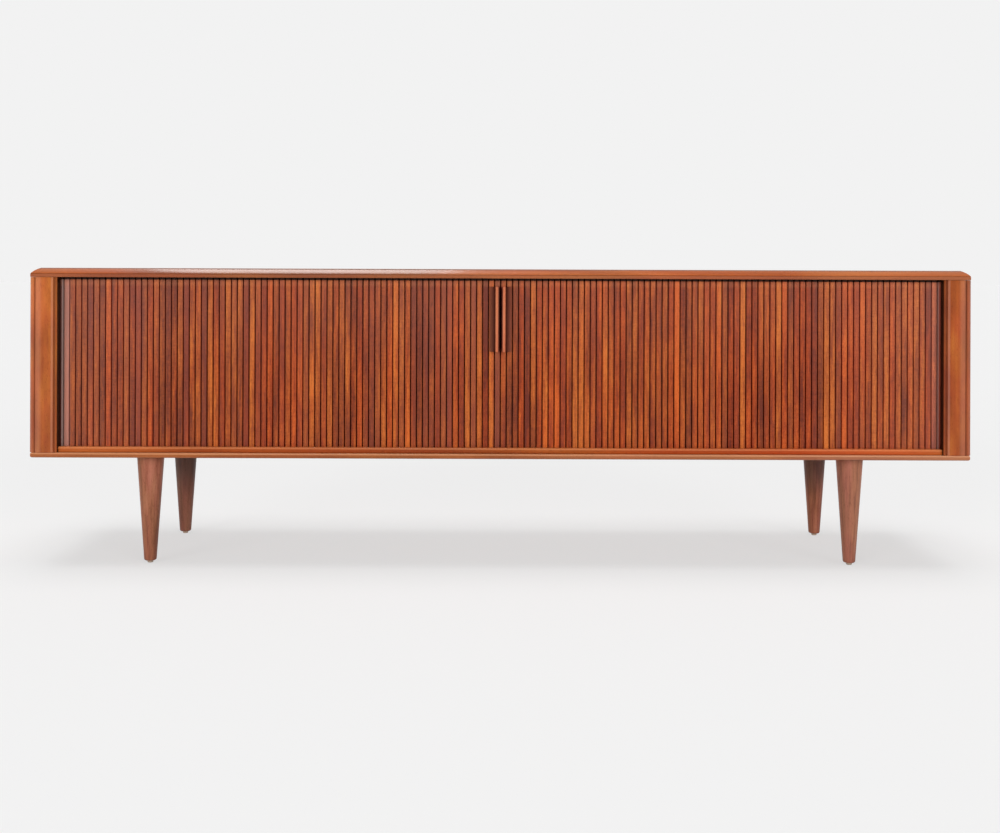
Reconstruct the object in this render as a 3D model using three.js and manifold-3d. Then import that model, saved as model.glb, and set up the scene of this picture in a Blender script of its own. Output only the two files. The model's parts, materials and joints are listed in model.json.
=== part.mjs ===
// Tambour door cabinet on four turned legs, in millimetres.
// X runs along the length, Y from the front (negative) to the back, Z up from the floor.
// The origin is on the floor, under the middle of the case.

import * as THREE from "three";
import { mergeVertices } from "three/addons/utils/BufferGeometryUtils.js";
import Module from "manifold-3d";

const wasm = await Module();
wasm.setup();

// Overall sizes of the case
const LENGTH = 2100;
const DEPTH = 460;
const HEIGHT = 671.5;
const FLOOR_CLEARANCE = 248;
const GAP = 0.3;

// Top board, with a quirk and a pillowed bevel round its upper edge
const TOP_THICKNESS = 20.5;
const TOP_EDGE_HEIGHT = 6.8;
const TOP_BEVEL_WIDTH = 18;
const TOP_BEVEL_BULGE = 1.6;
const TOP_BEVEL_STEPS = 4;
const QUIRK_DEPTH = 1.3;
const QUIRK_HEIGHT = 1.2;
const TOP_END_INSET = 1;

// Bottom board: a lip all round carries the posts, sides, back and rail
const LIP_HEIGHT = 11;
const BOTTOM_THICKNESS = 25;
const EDGE_EASE = 1.6;
const BOTTOM_END_INSET = 1.8;
const RAIL_SETBACK = 8;
const RAIL_DROP = 1.6;
const RAIL_EASE = 1.5;

// Front posts, seen in plan: u runs inwards from the end face, v back from the front
const POST_WIDTH = 61;
const POST_DEPTH = 60;
const POST_ROUND = 10.2;
const POST_ROUND_DEPTH = 5;
const POST_ROUND_SETBACK = 0.5;
const POST_FACE_START = 12.2;
const POST_FACE_END = 51.5;
const POST_FACE_CROWN = 1.6;
const POST_BEAD_RADIUS = 3.4;
const POST_BEAD_SETBACK = 1;

// Sides, back and the inner lining that hides the door tracks
const SIDE_THICKNESS = 23;
const BACK_THICKNESS = 12;
const LINING_THICKNESS = 10;
const LINING_INNER_X = 1000;
const LINING_FRONT_Y = -176;
const LINING_BACK_Y = 178;
const INNER_BACK_THICKNESS = 8;

// Tambour doors: slats glued side by side on canvas, bent round the front corners
const SLAT_PITCH = 13.46;
const SLATS_IN_FRONT = 73;
const LEAD_SLATS = 4;
const TAIL_SLATS = 6;
const CANVAS_BACK_Y = -196;
const CANVAS_THICKNESS = 1.2;
const SLAT_DEPTH = 10;
const SLAT_BACK_HALF = 6.3;
const SLAT_SHOULDER_HALF = 5.6;
const SLAT_SHOULDER_DEPTH = 8.3;
const SLAT_FACE_HALF = 4.5;
const CANVAS_TURN_RADIUS = 33;
const MEETING_GAP = 0.5;
const SLAT_SPLIT_GAP = 0.2;

// Grooves that the slats run in, cut in the top and bottom boards
const GROOVE_DEPTH_TOP = 7.5;
const GROOVE_DEPTH_BOTTOM = 8;
const GROOVE_CLEARANCE = 1;
const GROOVE_BACK_Y = 206;
const TURN_STEPS = 6;

// Door handles and their screws
const HANDLE_LENGTH = 146;
const HANDLE_BOTTOM_Z = 486.5;
const HANDLE_INNER_X = 3.9;
const HANDLE_FIN_WIDTH = 7.7;
const HANDLE_FOOT_WIDTH = 21;
const HANDLE_PROUD = 20;
const SCREW_X = 7.75;
const SCREW_HEIGHTS = [516, 603];
const SCREW_RADIUS = 1.8;
const SCREW_HEAD_RADIUS = 3.6;
const SCREW_HEAD_HEIGHT = 2.6;
const SCREW_BITE = 14;

// Dividers, shelves and the pins that carry them
const DIVIDER_X = 333;
const DIVIDER_THICKNESS = 18;
const DIVIDER_FRONT_Y = -184;
const SHELF_THICKNESS = 16;
const SHELF_BOTTOM_Z = 454;
const SHELF_FRONT_Y = -160;
const SHELF_BACK_Y = 166;
const SHELF_END_GAP = 2.5;
const PIN_RADIUS = 3;
const PIN_COLLAR_RADIUS = 5;
const PIN_COLLAR_THICKNESS = 1.5;
const PIN_STUB = 10;
const PIN_BITE = 7;
const PIN_Y = 120;

// Legs with their glides, bolts and plates
const LEG_X = 798;
const LEG_Y = 160;
const LEG_TOP_RADIUS = 30.7;
const LEG_FOOT_RADIUS = 13.8;
const LEG_FOOT_EASE = 3.6;
const GLIDE_HEIGHT = 5;
const GLIDE_RADIUS = 6.6;
const GLIDE_FLAT_RADIUS = 6;
const GLIDE_STEM_RADIUS = 2.5;
const GLIDE_STEM_LENGTH = 14;
const BOLT_RADIUS = 5;
const BOLT_IN_LEG = 28;
const BOLT_IN_BOARD = 19;
const PLATE_RADIUS = 28;
const PLATE_THICKNESS = 2.4;

// Stops in the rear track, where the tail of an open door ends
const STOP_X = 420;
const STOP_WIDTH = 16;
const STOP_HEIGHT = 20;

// Sizes worked out from the driving ones
const HALF_LENGTH = LENGTH / 2;
const HALF_DEPTH = DEPTH / 2;
const LIP_TOP_Z = FLOOR_CLEARANCE + LIP_HEIGHT;
const INNER_FLOOR_Z = FLOOR_CLEARANCE + BOTTOM_THICKNESS;
const TOP_UNDERSIDE_Z = HEIGHT - TOP_THICKNESS;
const POST_INNER_X = HALF_LENGTH - POST_WIDTH;
const TURN_X = SLATS_IN_FRONT * SLAT_PITCH;
const TURN_Y = CANVAS_BACK_Y + CANVAS_TURN_RADIUS;
const TURN_LENGTH = (CANVAS_TURN_RADIUS * Math.PI) / 2;
const TRACK_OUTER_RADIUS = CANVAS_TURN_RADIUS + SLAT_DEPTH + GROOVE_CLEARANCE;
const TRACK_INNER_RADIUS = CANVAS_TURN_RADIUS - GROOVE_CLEARANCE;
const TRACK_OUTER_X = TURN_X + TRACK_OUTER_RADIUS;
const TRACK_FRONT_Y = TURN_Y - TRACK_OUTER_RADIUS;
const TRACK_WIDTH = TRACK_OUTER_RADIUS - TRACK_INNER_RADIUS;
const SIDE_INNER_X = HALF_LENGTH - SIDE_THICKNESS;
const BACK_INNER_Y = GROOVE_BACK_Y + 2 * GAP;

// Finishes: one colour, roughness and metalness for each kind of surface
const FINISHES = {
  caseTeak: { color: 0xb05d37, roughness: 0.36, metalness: 0 },
  slatTeak: { color: 0xa15132, roughness: 0.42, metalness: 0 },
  handleTeak: { color: 0xa85f42, roughness: 0.38, metalness: 0 },
  legTeak: { color: 0x98614e, roughness: 0.45, metalness: 0 },
  innerTeak: { color: 0x8a5236, roughness: 0.6, metalness: 0 },
  steel: { color: 0xb9b9b6, roughness: 0.35, metalness: 1 },
  brass: { color: 0xc09a55, roughness: 0.35, metalness: 1 },
  glide: { color: 0xaa9582, roughness: 0.45, metalness: 0 },
};

const cabinet = new THREE.Group();

function addPiece(name, geometry, finish) {
  const piece = new THREE.Mesh(geometry, new THREE.MeshStandardMaterial(FINISHES[finish]));
  piece.name = name;
  cabinet.add(piece);
}

// Solid helpers
function toSolid(geometry) {
  const bare = geometry.clone();
  bare.deleteAttribute("normal");
  bare.deleteAttribute("uv");
  const merged = mergeVertices(bare, 1e-4);
  return new wasm.Manifold(
    new wasm.Mesh({
      numProp: 3,
      vertProperties: Float32Array.from(merged.attributes.position.array),
      triVerts: Uint32Array.from(merged.index.array),
    }),
  );
}

function toGeometry(solid) {
  const made = solid.getMesh();
  const geometry = new THREE.BufferGeometry();
  geometry.setAttribute("position", new THREE.BufferAttribute(Float32Array.from(made.vertProperties), 3));
  geometry.setIndex(new THREE.BufferAttribute(Uint32Array.from(made.triVerts), 1));
  return geometry;
}

function cut(base, cutters) {
  return toGeometry(cutters.reduce((solid, cutter) => solid.subtract(toSolid(cutter)), toSolid(base)));
}

function join(base, additions) {
  return toGeometry(additions.reduce((solid, added) => solid.add(toSolid(added)), toSolid(base)));
}

function block(x0, x1, y0, y1, z0, z1) {
  const geometry = new THREE.BoxGeometry(Math.abs(x1 - x0), y1 - y0, z1 - z0);
  return geometry.translate((x0 + x1) / 2, (y0 + y1) / 2, (z0 + z1) / 2);
}

function extrude(outline, length) {
  const shape = new THREE.Shape(outline.map(([a, b]) => new THREE.Vector2(a, b)));
  return new THREE.ExtrudeGeometry(shape, { depth: length, bevelEnabled: false });
}

// An outline in plan, raised from z0 to z1
function prismZ(outline, z0, z1) {
  return extrude(outline, z1 - z0).translate(0, 0, z0);
}

// An outline of (y, z) points, run along X from x0 to x1
function prismX(outline, x0, x1) {
  const turn = new THREE.Matrix4().makeBasis(
    new THREE.Vector3(0, 1, 0),
    new THREE.Vector3(0, 0, 1),
    new THREE.Vector3(1, 0, 0),
  );
  return extrude(outline, x1 - x0).applyMatrix4(turn).translate(x0, 0, 0);
}

// An outline of (x, z) points, run along Y from y0 to y1
function prismY(outline, y0, y1) {
  const turn = new THREE.Matrix4().makeBasis(
    new THREE.Vector3(1, 0, 0),
    new THREE.Vector3(0, 0, 1),
    new THREE.Vector3(0, -1, 0),
  );
  return extrude(outline, y1 - y0).applyMatrix4(turn).translate(0, y1, 0);
}

// A profile of (radius, height) points turned about the vertical through (x, y)
function turned(profile, x, y, sides) {
  const points = profile.map(([radius, height]) => new THREE.Vector2(radius, height));
  return new THREE.LatheGeometry(points, sides).rotateX(Math.PI / 2).translate(x, y, 0);
}

function rodX(radius, x0, x1, y, z, sides) {
  const rod = new THREE.CylinderGeometry(radius, radius, x1 - x0, sides).rotateZ(Math.PI / 2);
  return rod.translate((x0 + x1) / 2, y, z);
}

function rodY(radius, x, y0, y1, z, sides) {
  return new THREE.CylinderGeometry(radius, radius, y1 - y0, sides).translate(x, (y0 + y1) / 2, z);
}

function rodZ(radius, x, y, z0, z1, sides) {
  const rod = new THREE.CylinderGeometry(radius, radius, z1 - z0, sides).rotateX(Math.PI / 2);
  return rod.translate(x, y, (z0 + z1) / 2);
}

function arc(centreA, centreB, radius, start, end, steps) {
  return Array.from({ length: steps + 1 }, (_, k) => {
    const angle = start + ((end - start) * k) / steps;
    return [centreA + radius * Math.cos(angle), centreB + radius * Math.sin(angle)];
  });
}

// A board whose edge follows (height, inset) levels, mitred at its corners and shorter at both ends
function mouldedBoard(levels, endInset) {
  const section = (half) => [
    ...levels.map(([z, inset]) => [half - inset, z]),
    ...levels.toReversed().map(([z, inset]) => [inset - half, z]),
  ];
  const long = toSolid(prismX(section(HALF_DEPTH), -HALF_LENGTH, HALF_LENGTH));
  const wide = toSolid(prismY(section(HALF_LENGTH - endInset), -HALF_DEPTH, HALF_DEPTH));
  return toGeometry(long.intersect(wide));
}

// The track's plan, grown or shrunk from its inner edge, with a radius at all four corners
function trackOutline(growth) {
  const radius = TRACK_INNER_RADIUS + growth;
  const backTurnY = GROOVE_BACK_Y - TRACK_OUTER_RADIUS;
  const quarter = Math.PI / 2;
  return [
    ...arc(TURN_X, TURN_Y, radius, -quarter, 0, TURN_STEPS),
    ...arc(TURN_X, backTurnY, radius, 0, quarter, TURN_STEPS),
    ...arc(-TURN_X, backTurnY, radius, quarter, 2 * quarter, TURN_STEPS),
    ...arc(-TURN_X, TURN_Y, radius, 2 * quarter, 3 * quarter, TURN_STEPS),
  ];
}

function trackRing(z0, z1) {
  return cut(prismZ(trackOutline(TRACK_WIDTH), z0, z1), [prismZ(trackOutline(0), z0 - 1, z1 + 1)]);
}

// Top board
function topPanel() {
  const edgeTop = TOP_UNDERSIDE_Z + TOP_EDGE_HEIGHT;
  const bevelFoot = edgeTop + QUIRK_HEIGHT;
  const bevelHeight = HEIGHT - bevelFoot;
  const slope = Math.hypot(bevelHeight, TOP_BEVEL_WIDTH);
  const bevel = Array.from({ length: TOP_BEVEL_STEPS + 1 }, (_, k) => {
    const along = k / TOP_BEVEL_STEPS;
    const bulge = TOP_BEVEL_BULGE * 4 * along * (1 - along);
    const z = bevelFoot + bevelHeight * along + (bulge * TOP_BEVEL_WIDTH) / slope;
    const inset = TOP_BEVEL_WIDTH * along - (bulge * bevelHeight) / slope;
    return [z, inset];
  });
  const levels = [
    [TOP_UNDERSIDE_Z, 0.8],
    [TOP_UNDERSIDE_Z + 0.8, 0],
    [edgeTop, 0],
    [edgeTop + QUIRK_HEIGHT / 2, QUIRK_DEPTH],
    ...bevel,
  ];
  const groove = trackRing(TOP_UNDERSIDE_Z - 1, TOP_UNDERSIDE_Z + GROOVE_DEPTH_TOP);
  return cut(mouldedBoard(levels, TOP_END_INSET), [groove]);
}

// Bottom board: lip, raised core and the track cut into the core
function corePlan() {
  const backY = GROOVE_BACK_Y - GAP;
  const sideX = TRACK_OUTER_X - GAP;
  const radius = TRACK_OUTER_RADIUS - GAP;
  const quarter = Math.PI / 2;
  return [
    ...arc(TURN_X, TURN_Y, radius, -quarter, 0, TURN_STEPS),
    [sideX, backY],
    [-sideX, backY],
    ...arc(-TURN_X, TURN_Y, radius, 2 * quarter, 3 * quarter, TURN_STEPS),
  ];
}

function legPlaces() {
  return [
    ["front_left", -LEG_X, -LEG_Y],
    ["front_right", LEG_X, -LEG_Y],
    ["rear_left", -LEG_X, LEG_Y],
    ["rear_right", LEG_X, LEG_Y],
  ];
}

function bottomPanel() {
  const levels = [
    [FLOOR_CLEARANCE, 2 * EDGE_EASE],
    [FLOOR_CLEARANCE + EDGE_EASE, EDGE_EASE / 2],
    [FLOOR_CLEARANCE + 2 * EDGE_EASE, 0],
    [LIP_TOP_Z - EDGE_EASE, 0],
    [LIP_TOP_Z, EDGE_EASE],
  ];
  const lip = mouldedBoard(levels, BOTTOM_END_INSET);
  const board = join(lip, [prismZ(corePlan(), FLOOR_CLEARANCE + LIP_HEIGHT / 2, INNER_FLOOR_Z)]);
  const grooveFloor = INNER_FLOOR_Z - GROOVE_DEPTH_BOTTOM;
  const pockets = legPlaces().flatMap(([, x, y]) => [
    rodZ(PLATE_RADIUS + GAP, x, y, FLOOR_CLEARANCE - 1, FLOOR_CLEARANCE + PLATE_THICKNESS + 2 * GAP, 24),
    rodZ(BOLT_RADIUS + 2 * GAP, x, y, FLOOR_CLEARANCE - 1, FLOOR_CLEARANCE + BOLT_IN_BOARD + 1, 12),
  ]);
  return cut(board, [trackRing(grooveFloor, INNER_FLOOR_Z + 1), ...pockets]);
}

function frontRail() {
  const frontY = RAIL_SETBACK - HALF_DEPTH;
  const backY = TRACK_FRONT_Y - GAP;
  const topZ = INNER_FLOOR_Z - RAIL_DROP;
  const outline = [
    [frontY, LIP_TOP_Z + GAP],
    [frontY, topZ - RAIL_EASE],
    [frontY + RAIL_EASE, topZ],
    [backY, topZ],
    [backY, LIP_TOP_Z + GAP],
  ];
  return prismX(outline, GAP - POST_INNER_X, POST_INNER_X - GAP);
}

// Front post: rounded outer edge, quirk, crowned face, quirk, inner bead, and a hollow behind
function postOutline(side) {
  const faceMiddle = (POST_FACE_START + POST_FACE_END) / 2;
  const faceHalf = (POST_FACE_END - POST_FACE_START) / 2;
  const crowned = Array.from({ length: 7 }, (_, k) => {
    const share = k / 3 - 1;
    return [faceMiddle + faceHalf * share, POST_FACE_CROWN * share * share];
  });
  const beadCentre = POST_WIDTH - POST_BEAD_RADIUS;
  const beadV = POST_BEAD_SETBACK + POST_BEAD_RADIUS;
  const hollowRadius = TRACK_OUTER_RADIUS + GAP;
  const hollowU = HALF_LENGTH - TURN_X;
  const hollowV = TURN_Y + HALF_DEPTH;
  const hollowStart = Math.asin((hollowU - POST_WIDTH) / hollowRadius) - Math.PI / 2;
  const hollowEnd = -Math.asin((hollowV - POST_DEPTH) / hollowRadius);
  const hollow = arc(0, 0, hollowRadius, hollowStart, hollowEnd, TURN_STEPS);
  const edge = arc(1, 1, 1, Math.PI, 1.5 * Math.PI, 5);
  const outline = [
    [0, POST_DEPTH],
    ...edge.map(([a, b]) => [a * POST_ROUND, POST_ROUND_SETBACK + b * POST_ROUND_DEPTH]),
    [POST_ROUND + 0.7, 3.2],
    ...crowned,
    [POST_FACE_END + 1, 3.6],
    ...arc(beadCentre, beadV, POST_BEAD_RADIUS, Math.PI, 2 * Math.PI, 6),
    ...hollow.map(([a, b]) => [hollowU - a, hollowV + b]),
  ];
  return outline.map(([u, v]) => [side * (HALF_LENGTH - u), v - HALF_DEPTH]);
}

// Lining, dividers and shelves
function bays() {
  const dividerHalf = DIVIDER_THICKNESS / 2;
  return [
    { name: "left", low: -LINING_INNER_X, high: -DIVIDER_X - dividerHalf },
    { name: "centre", low: -DIVIDER_X + dividerHalf, high: DIVIDER_X - dividerHalf },
    { name: "right", low: DIVIDER_X + dividerHalf, high: LINING_INNER_X },
  ];
}

const PIN_Z = SHELF_BOTTOM_Z - GAP - PIN_RADIUS;

function pinHoles(wallX, intoWall) {
  const inner = wallX - intoWall;
  const outer = wallX + intoWall * (PIN_BITE + 2 * GAP);
  const low = Math.min(inner, outer);
  const high = Math.max(inner, outer);
  return [-PIN_Y, PIN_Y].map((y) => rodX(PIN_RADIUS + GAP, low, high, y, PIN_Z, 12));
}

function liningSide(side) {
  const inner = side * LINING_INNER_X;
  const outer = side * (LINING_INNER_X + LINING_THICKNESS);
  const low = Math.min(inner, outer);
  const high = Math.max(inner, outer);
  const bottom = INNER_FLOOR_Z + GAP;
  const board = block(low, high, LINING_FRONT_Y, LINING_BACK_Y, bottom, TOP_UNDERSIDE_Z - GAP);
  return cut(board, pinHoles(inner, side));
}

function divider(x) {
  const half = DIVIDER_THICKNESS / 2;
  const backY = LINING_BACK_Y - INNER_BACK_THICKNESS - GAP;
  const bottom = INNER_FLOOR_Z + GAP;
  const board = block(x - half, x + half, DIVIDER_FRONT_Y, backY, bottom, TOP_UNDERSIDE_Z - GAP);
  return cut(board, [...pinHoles(x - half, 1), ...pinHoles(x + half, -1)]);
}

// Pin with a round stem in the wall, a collar against it and a stub under the shelf
function shelfPin(wallX, outOfWall, y) {
  const collarStart = GAP;
  const collarEnd = GAP + PIN_COLLAR_THICKNESS;
  const profile = [
    [0, -PIN_BITE],
    [PIN_RADIUS - 0.6, -PIN_BITE],
    [PIN_RADIUS, 0.6 - PIN_BITE],
    [PIN_RADIUS, collarStart],
    [PIN_COLLAR_RADIUS, collarStart],
    [PIN_COLLAR_RADIUS, collarEnd],
    [PIN_RADIUS, collarEnd],
    [PIN_RADIUS, PIN_STUB - 0.6],
    [PIN_RADIUS - 0.6, PIN_STUB],
    [0, PIN_STUB],
  ];
  const points = profile.map(([radius, along]) => new THREE.Vector2(radius, along));
  const pin = new THREE.LatheGeometry(points, 12).rotateZ((-outOfWall * Math.PI) / 2);
  return pin.translate(wallX, y, PIN_Z);
}

// Tambour: a place on the track, s along the canvas from the middle of the front, o outwards
function slatFrame(s) {
  const turn = Math.min(Math.max((s - TURN_X) / CANVAS_TURN_RADIUS, 0), Math.PI / 2);
  const before = Math.min(s, TURN_X);
  const after = Math.max(s - TURN_X - TURN_LENGTH, 0);
  const origin = [
    before + CANVAS_TURN_RADIUS * Math.sin(turn),
    TURN_Y - CANVAS_TURN_RADIUS * Math.cos(turn) + after,
  ];
  return (along, outwards) => [
    origin[0] + along * Math.cos(turn) + outwards * Math.sin(turn),
    origin[1] + along * Math.sin(turn) - outwards * Math.cos(turn),
  ];
}

function slatStripOutline(first, last, startGap) {
  const section = [
    [-SLAT_BACK_HALF, CANVAS_THICKNESS],
    [-SLAT_SHOULDER_HALF, SLAT_SHOULDER_DEPTH],
    [-SLAT_FACE_HALF, SLAT_DEPTH],
    [SLAT_FACE_HALF, SLAT_DEPTH],
    [SLAT_SHOULDER_HALF, SLAT_SHOULDER_DEPTH],
    [SLAT_BACK_HALF, CANVAS_THICKNESS],
  ];
  const fronts = [];
  for (let slat = first; slat <= last; slat += 1) {
    const place = slatFrame((slat + 0.5) * SLAT_PITCH);
    fronts.push(...section.map(([along, outwards]) => place(along, outwards)));
  }
  const start = first * SLAT_PITCH + startGap;
  const end = (last + 1) * SLAT_PITCH - SLAT_SPLIT_GAP;
  const back = [];
  if (end > TURN_X) {
    for (let edge = last; edge * SLAT_PITCH > TURN_X; edge -= 1) {
      back.push(slatFrame(edge * SLAT_PITCH)(0, 0));
    }
    back.push([TURN_X, CANVAS_BACK_Y]);
  }
  return [
    slatFrame(start)(0, 0),
    slatFrame(start)(0, CANVAS_THICKNESS),
    ...fronts,
    slatFrame(end)(0, CANVAS_THICKNESS),
    slatFrame(end)(0, 0),
    ...back,
  ];
}

const SLAT_LOW_Z = INNER_FLOOR_Z - GROOVE_DEPTH_BOTTOM + GROOVE_CLEARANCE;
const SLAT_HIGH_Z = TOP_UNDERSIDE_Z + GROOVE_DEPTH_TOP - GROOVE_CLEARANCE;

function slatStrip(side, first, last, startGap) {
  const outline = slatStripOutline(first, last, startGap).map(([x, y]) => [side * x, y]);
  return prismZ(outline, SLAT_LOW_Z, SLAT_HIGH_Z);
}

// The meeting slat takes the handle screws from behind, with their heads sunk
function meetingSlat(side) {
  const holes = SCREW_HEIGHTS.flatMap((z) => {
    const headFloor = CANVAS_BACK_Y - SCREW_HEAD_HEIGHT - 2 * GAP;
    return [
      rodY(SCREW_RADIUS + GAP, side * SCREW_X, CANVAS_BACK_Y - SLAT_DEPTH - 1, CANVAS_BACK_Y + 1, z, 12),
      rodY(SCREW_HEAD_RADIUS + GAP, side * SCREW_X, headFloor, CANVAS_BACK_Y + 1, z, 12),
    ];
  });
  return cut(slatStrip(side, 0, 0, MEETING_GAP), holes);
}

// Handle: a slim upright fin whose outer side is scooped down to a thin foot
function handleOutline(side) {
  const finEnd = HANDLE_INNER_X + HANDLE_FIN_WIDTH;
  const footEnd = HANDLE_INNER_X + HANDLE_FOOT_WIDTH;
  const round = 2.2;
  const scoopRadius = footEnd - finEnd - 1;
  const scoop = arc(footEnd - 1, scoopRadius + 2.4, scoopRadius, Math.PI, 1.5 * Math.PI, 6);
  const outline = [
    [HANDLE_INNER_X, 0],
    [HANDLE_INNER_X, HANDLE_PROUD - round],
    [HANDLE_INNER_X + round * 0.3, HANDLE_PROUD - round * 0.3],
    [HANDLE_INNER_X + round, HANDLE_PROUD],
    [finEnd - round, HANDLE_PROUD],
    [finEnd - round * 0.3, HANDLE_PROUD - round * 0.3],
    [finEnd, HANDLE_PROUD - round],
    ...scoop,
    [footEnd, 1.6],
    [footEnd, 0],
  ];
  const baseY = CANVAS_BACK_Y - SLAT_DEPTH - GAP;
  return outline.map(([x, proud]) => [side * x, baseY - proud]);
}

function handle(side) {
  const baseY = CANVAS_BACK_Y - SLAT_DEPTH;
  const tip = baseY - SCREW_BITE - 2 * GAP;
  const bores = SCREW_HEIGHTS.map((z) => rodY(SCREW_RADIUS + GAP, side * SCREW_X, tip, baseY + 1, z, 12));
  const body = prismZ(handleOutline(side), HANDLE_BOTTOM_Z, HANDLE_BOTTOM_Z + HANDLE_LENGTH);
  return cut(body, bores);
}

function handleScrew(side, z) {
  const tip = CANVAS_BACK_Y - SLAT_DEPTH - SCREW_BITE;
  const head = CANVAS_BACK_Y - SCREW_HEAD_HEIGHT - GAP;
  const shank = rodY(SCREW_RADIUS, side * SCREW_X, tip, head + 1, z, 12);
  return join(shank, [rodY(SCREW_HEAD_RADIUS, side * SCREW_X, head, CANVAS_BACK_Y - GAP, z, 12)]);
}

// Legs and what fastens them
const LEG_TOP_Z = FLOOR_CLEARANCE - GAP;

function leg(x, y) {
  const stemTop = GLIDE_HEIGHT + GLIDE_STEM_LENGTH + 2 * GAP;
  const stemRadius = GLIDE_STEM_RADIUS + GAP;
  const boltFloor = FLOOR_CLEARANCE - BOLT_IN_LEG - 2 * GAP;
  const boltRadius = BOLT_RADIUS + GAP;
  const foot = GLIDE_HEIGHT + GAP;
  const profile = [
    [0, stemTop],
    [stemRadius, stemTop],
    [stemRadius, foot],
    [LEG_FOOT_RADIUS - LEG_FOOT_EASE, foot],
    [LEG_FOOT_RADIUS, foot + LEG_FOOT_EASE],
    [LEG_TOP_RADIUS, LEG_TOP_Z],
    [boltRadius, LEG_TOP_Z],
    [boltRadius, boltFloor],
    [0, boltFloor],
  ];
  return turned(profile, x, y, 32);
}

function glide(x, y) {
  const stemTop = GLIDE_HEIGHT + GLIDE_STEM_LENGTH;
  const profile = [
    [0, 0],
    [GLIDE_FLAT_RADIUS, 0],
    [(GLIDE_RADIUS + GLIDE_FLAT_RADIUS) / 2, 0.9],
    [GLIDE_RADIUS, 2.6],
    [GLIDE_RADIUS, GLIDE_HEIGHT],
    [GLIDE_STEM_RADIUS, GLIDE_HEIGHT],
    [GLIDE_STEM_RADIUS, stemTop],
    [0, stemTop],
  ];
  return turned(profile, x, y, 20);
}

function legPlate(x, y) {
  const low = FLOOR_CLEARANCE + GAP;
  const high = low + PLATE_THICKNESS;
  const hole = BOLT_RADIUS + 2 * GAP;
  const profile = [
    [hole, low],
    [PLATE_RADIUS, low],
    [PLATE_RADIUS, high],
    [hole, high],
    [hole, low],
  ];
  return turned(profile, x, y, 24);
}

function legBolt(x, y) {
  const low = FLOOR_CLEARANCE - BOLT_IN_LEG;
  const high = FLOOR_CLEARANCE + BOLT_IN_BOARD;
  const profile = [
    [0, low],
    [BOLT_RADIUS - 1, low],
    [BOLT_RADIUS, low + 1],
    [BOLT_RADIUS, high - 1],
    [BOLT_RADIUS - 1, high],
    [0, high],
  ];
  return turned(profile, x, y, 12);
}

function doorStop(side) {
  const low = side * STOP_X - STOP_WIDTH / 2;
  const floor = INNER_FLOOR_Z - GROOVE_DEPTH_BOTTOM + GAP;
  const frontY = GROOVE_BACK_Y - TRACK_WIDTH + GAP;
  return block(low, low + STOP_WIDTH, frontY, GROOVE_BACK_Y - GAP, floor, floor + STOP_HEIGHT);
}

// Case
const wallLowZ = LIP_TOP_Z + GAP;
const wallHighZ = TOP_UNDERSIDE_Z - GAP;
addPiece("top_panel", topPanel(), "caseTeak");
addPiece("bottom_panel", bottomPanel(), "caseTeak");
addPiece("front_rail", frontRail(), "caseTeak");
for (const [word, side] of [["left", -1], ["right", 1]]) {
  const sideFrontY = POST_DEPTH - HALF_DEPTH + GAP;
  const sidePanel = block(side * SIDE_INNER_X, side * HALF_LENGTH, sideFrontY, HALF_DEPTH, wallLowZ, wallHighZ);
  addPiece(`${word}_front_post`, prismZ(postOutline(side), wallLowZ, wallHighZ), "caseTeak");
  addPiece(`${word}_side_panel`, sidePanel, "caseTeak");
}
const backEndX = SIDE_INNER_X - GAP;
const backPanel = block(-backEndX, backEndX, BACK_INNER_Y, BACK_INNER_Y + BACK_THICKNESS, wallLowZ, wallHighZ);
addPiece("back_panel", backPanel, "innerTeak");

// Lining, dividers, shelves and pins
const innerBackY = LINING_BACK_Y - INNER_BACK_THICKNESS;
const innerBackX = LINING_INNER_X - GAP;
const liningLowZ = INNER_FLOOR_Z + GAP;
const innerBack = block(-innerBackX, innerBackX, innerBackY, LINING_BACK_Y, liningLowZ, wallHighZ);
addPiece("left_lining_panel", liningSide(-1), "innerTeak");
addPiece("right_lining_panel", liningSide(1), "innerTeak");
addPiece("inner_back_panel", innerBack, "innerTeak");
addPiece("left_divider", divider(-DIVIDER_X), "innerTeak");
addPiece("right_divider", divider(DIVIDER_X), "innerTeak");
for (const { name, low, high } of bays()) {
  const shelfTop = SHELF_BOTTOM_Z + SHELF_THICKNESS;
  const left = low + SHELF_END_GAP;
  const right = high - SHELF_END_GAP;
  const shelf = block(left, right, SHELF_FRONT_Y, SHELF_BACK_Y, SHELF_BOTTOM_Z, shelfTop);
  addPiece(`${name}_shelf`, shelf, "innerTeak");
  addPiece(`${name}_shelf_pin_1`, shelfPin(low, 1, -PIN_Y), "brass");
  addPiece(`${name}_shelf_pin_2`, shelfPin(low, 1, PIN_Y), "brass");
  addPiece(`${name}_shelf_pin_3`, shelfPin(high, -1, -PIN_Y), "brass");
  addPiece(`${name}_shelf_pin_4`, shelfPin(high, -1, PIN_Y), "brass");
}

// Legs
for (const [word, x, y] of legPlaces()) {
  addPiece(`${word}_leg`, leg(x, y), "legTeak");
  addPiece(`${word}_glide`, glide(x, y), "glide");
  addPiece(`${word}_leg_plate`, legPlate(x, y), "steel");
  addPiece(`${word}_leg_bolt`, legBolt(x, y), "steel");
}

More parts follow.
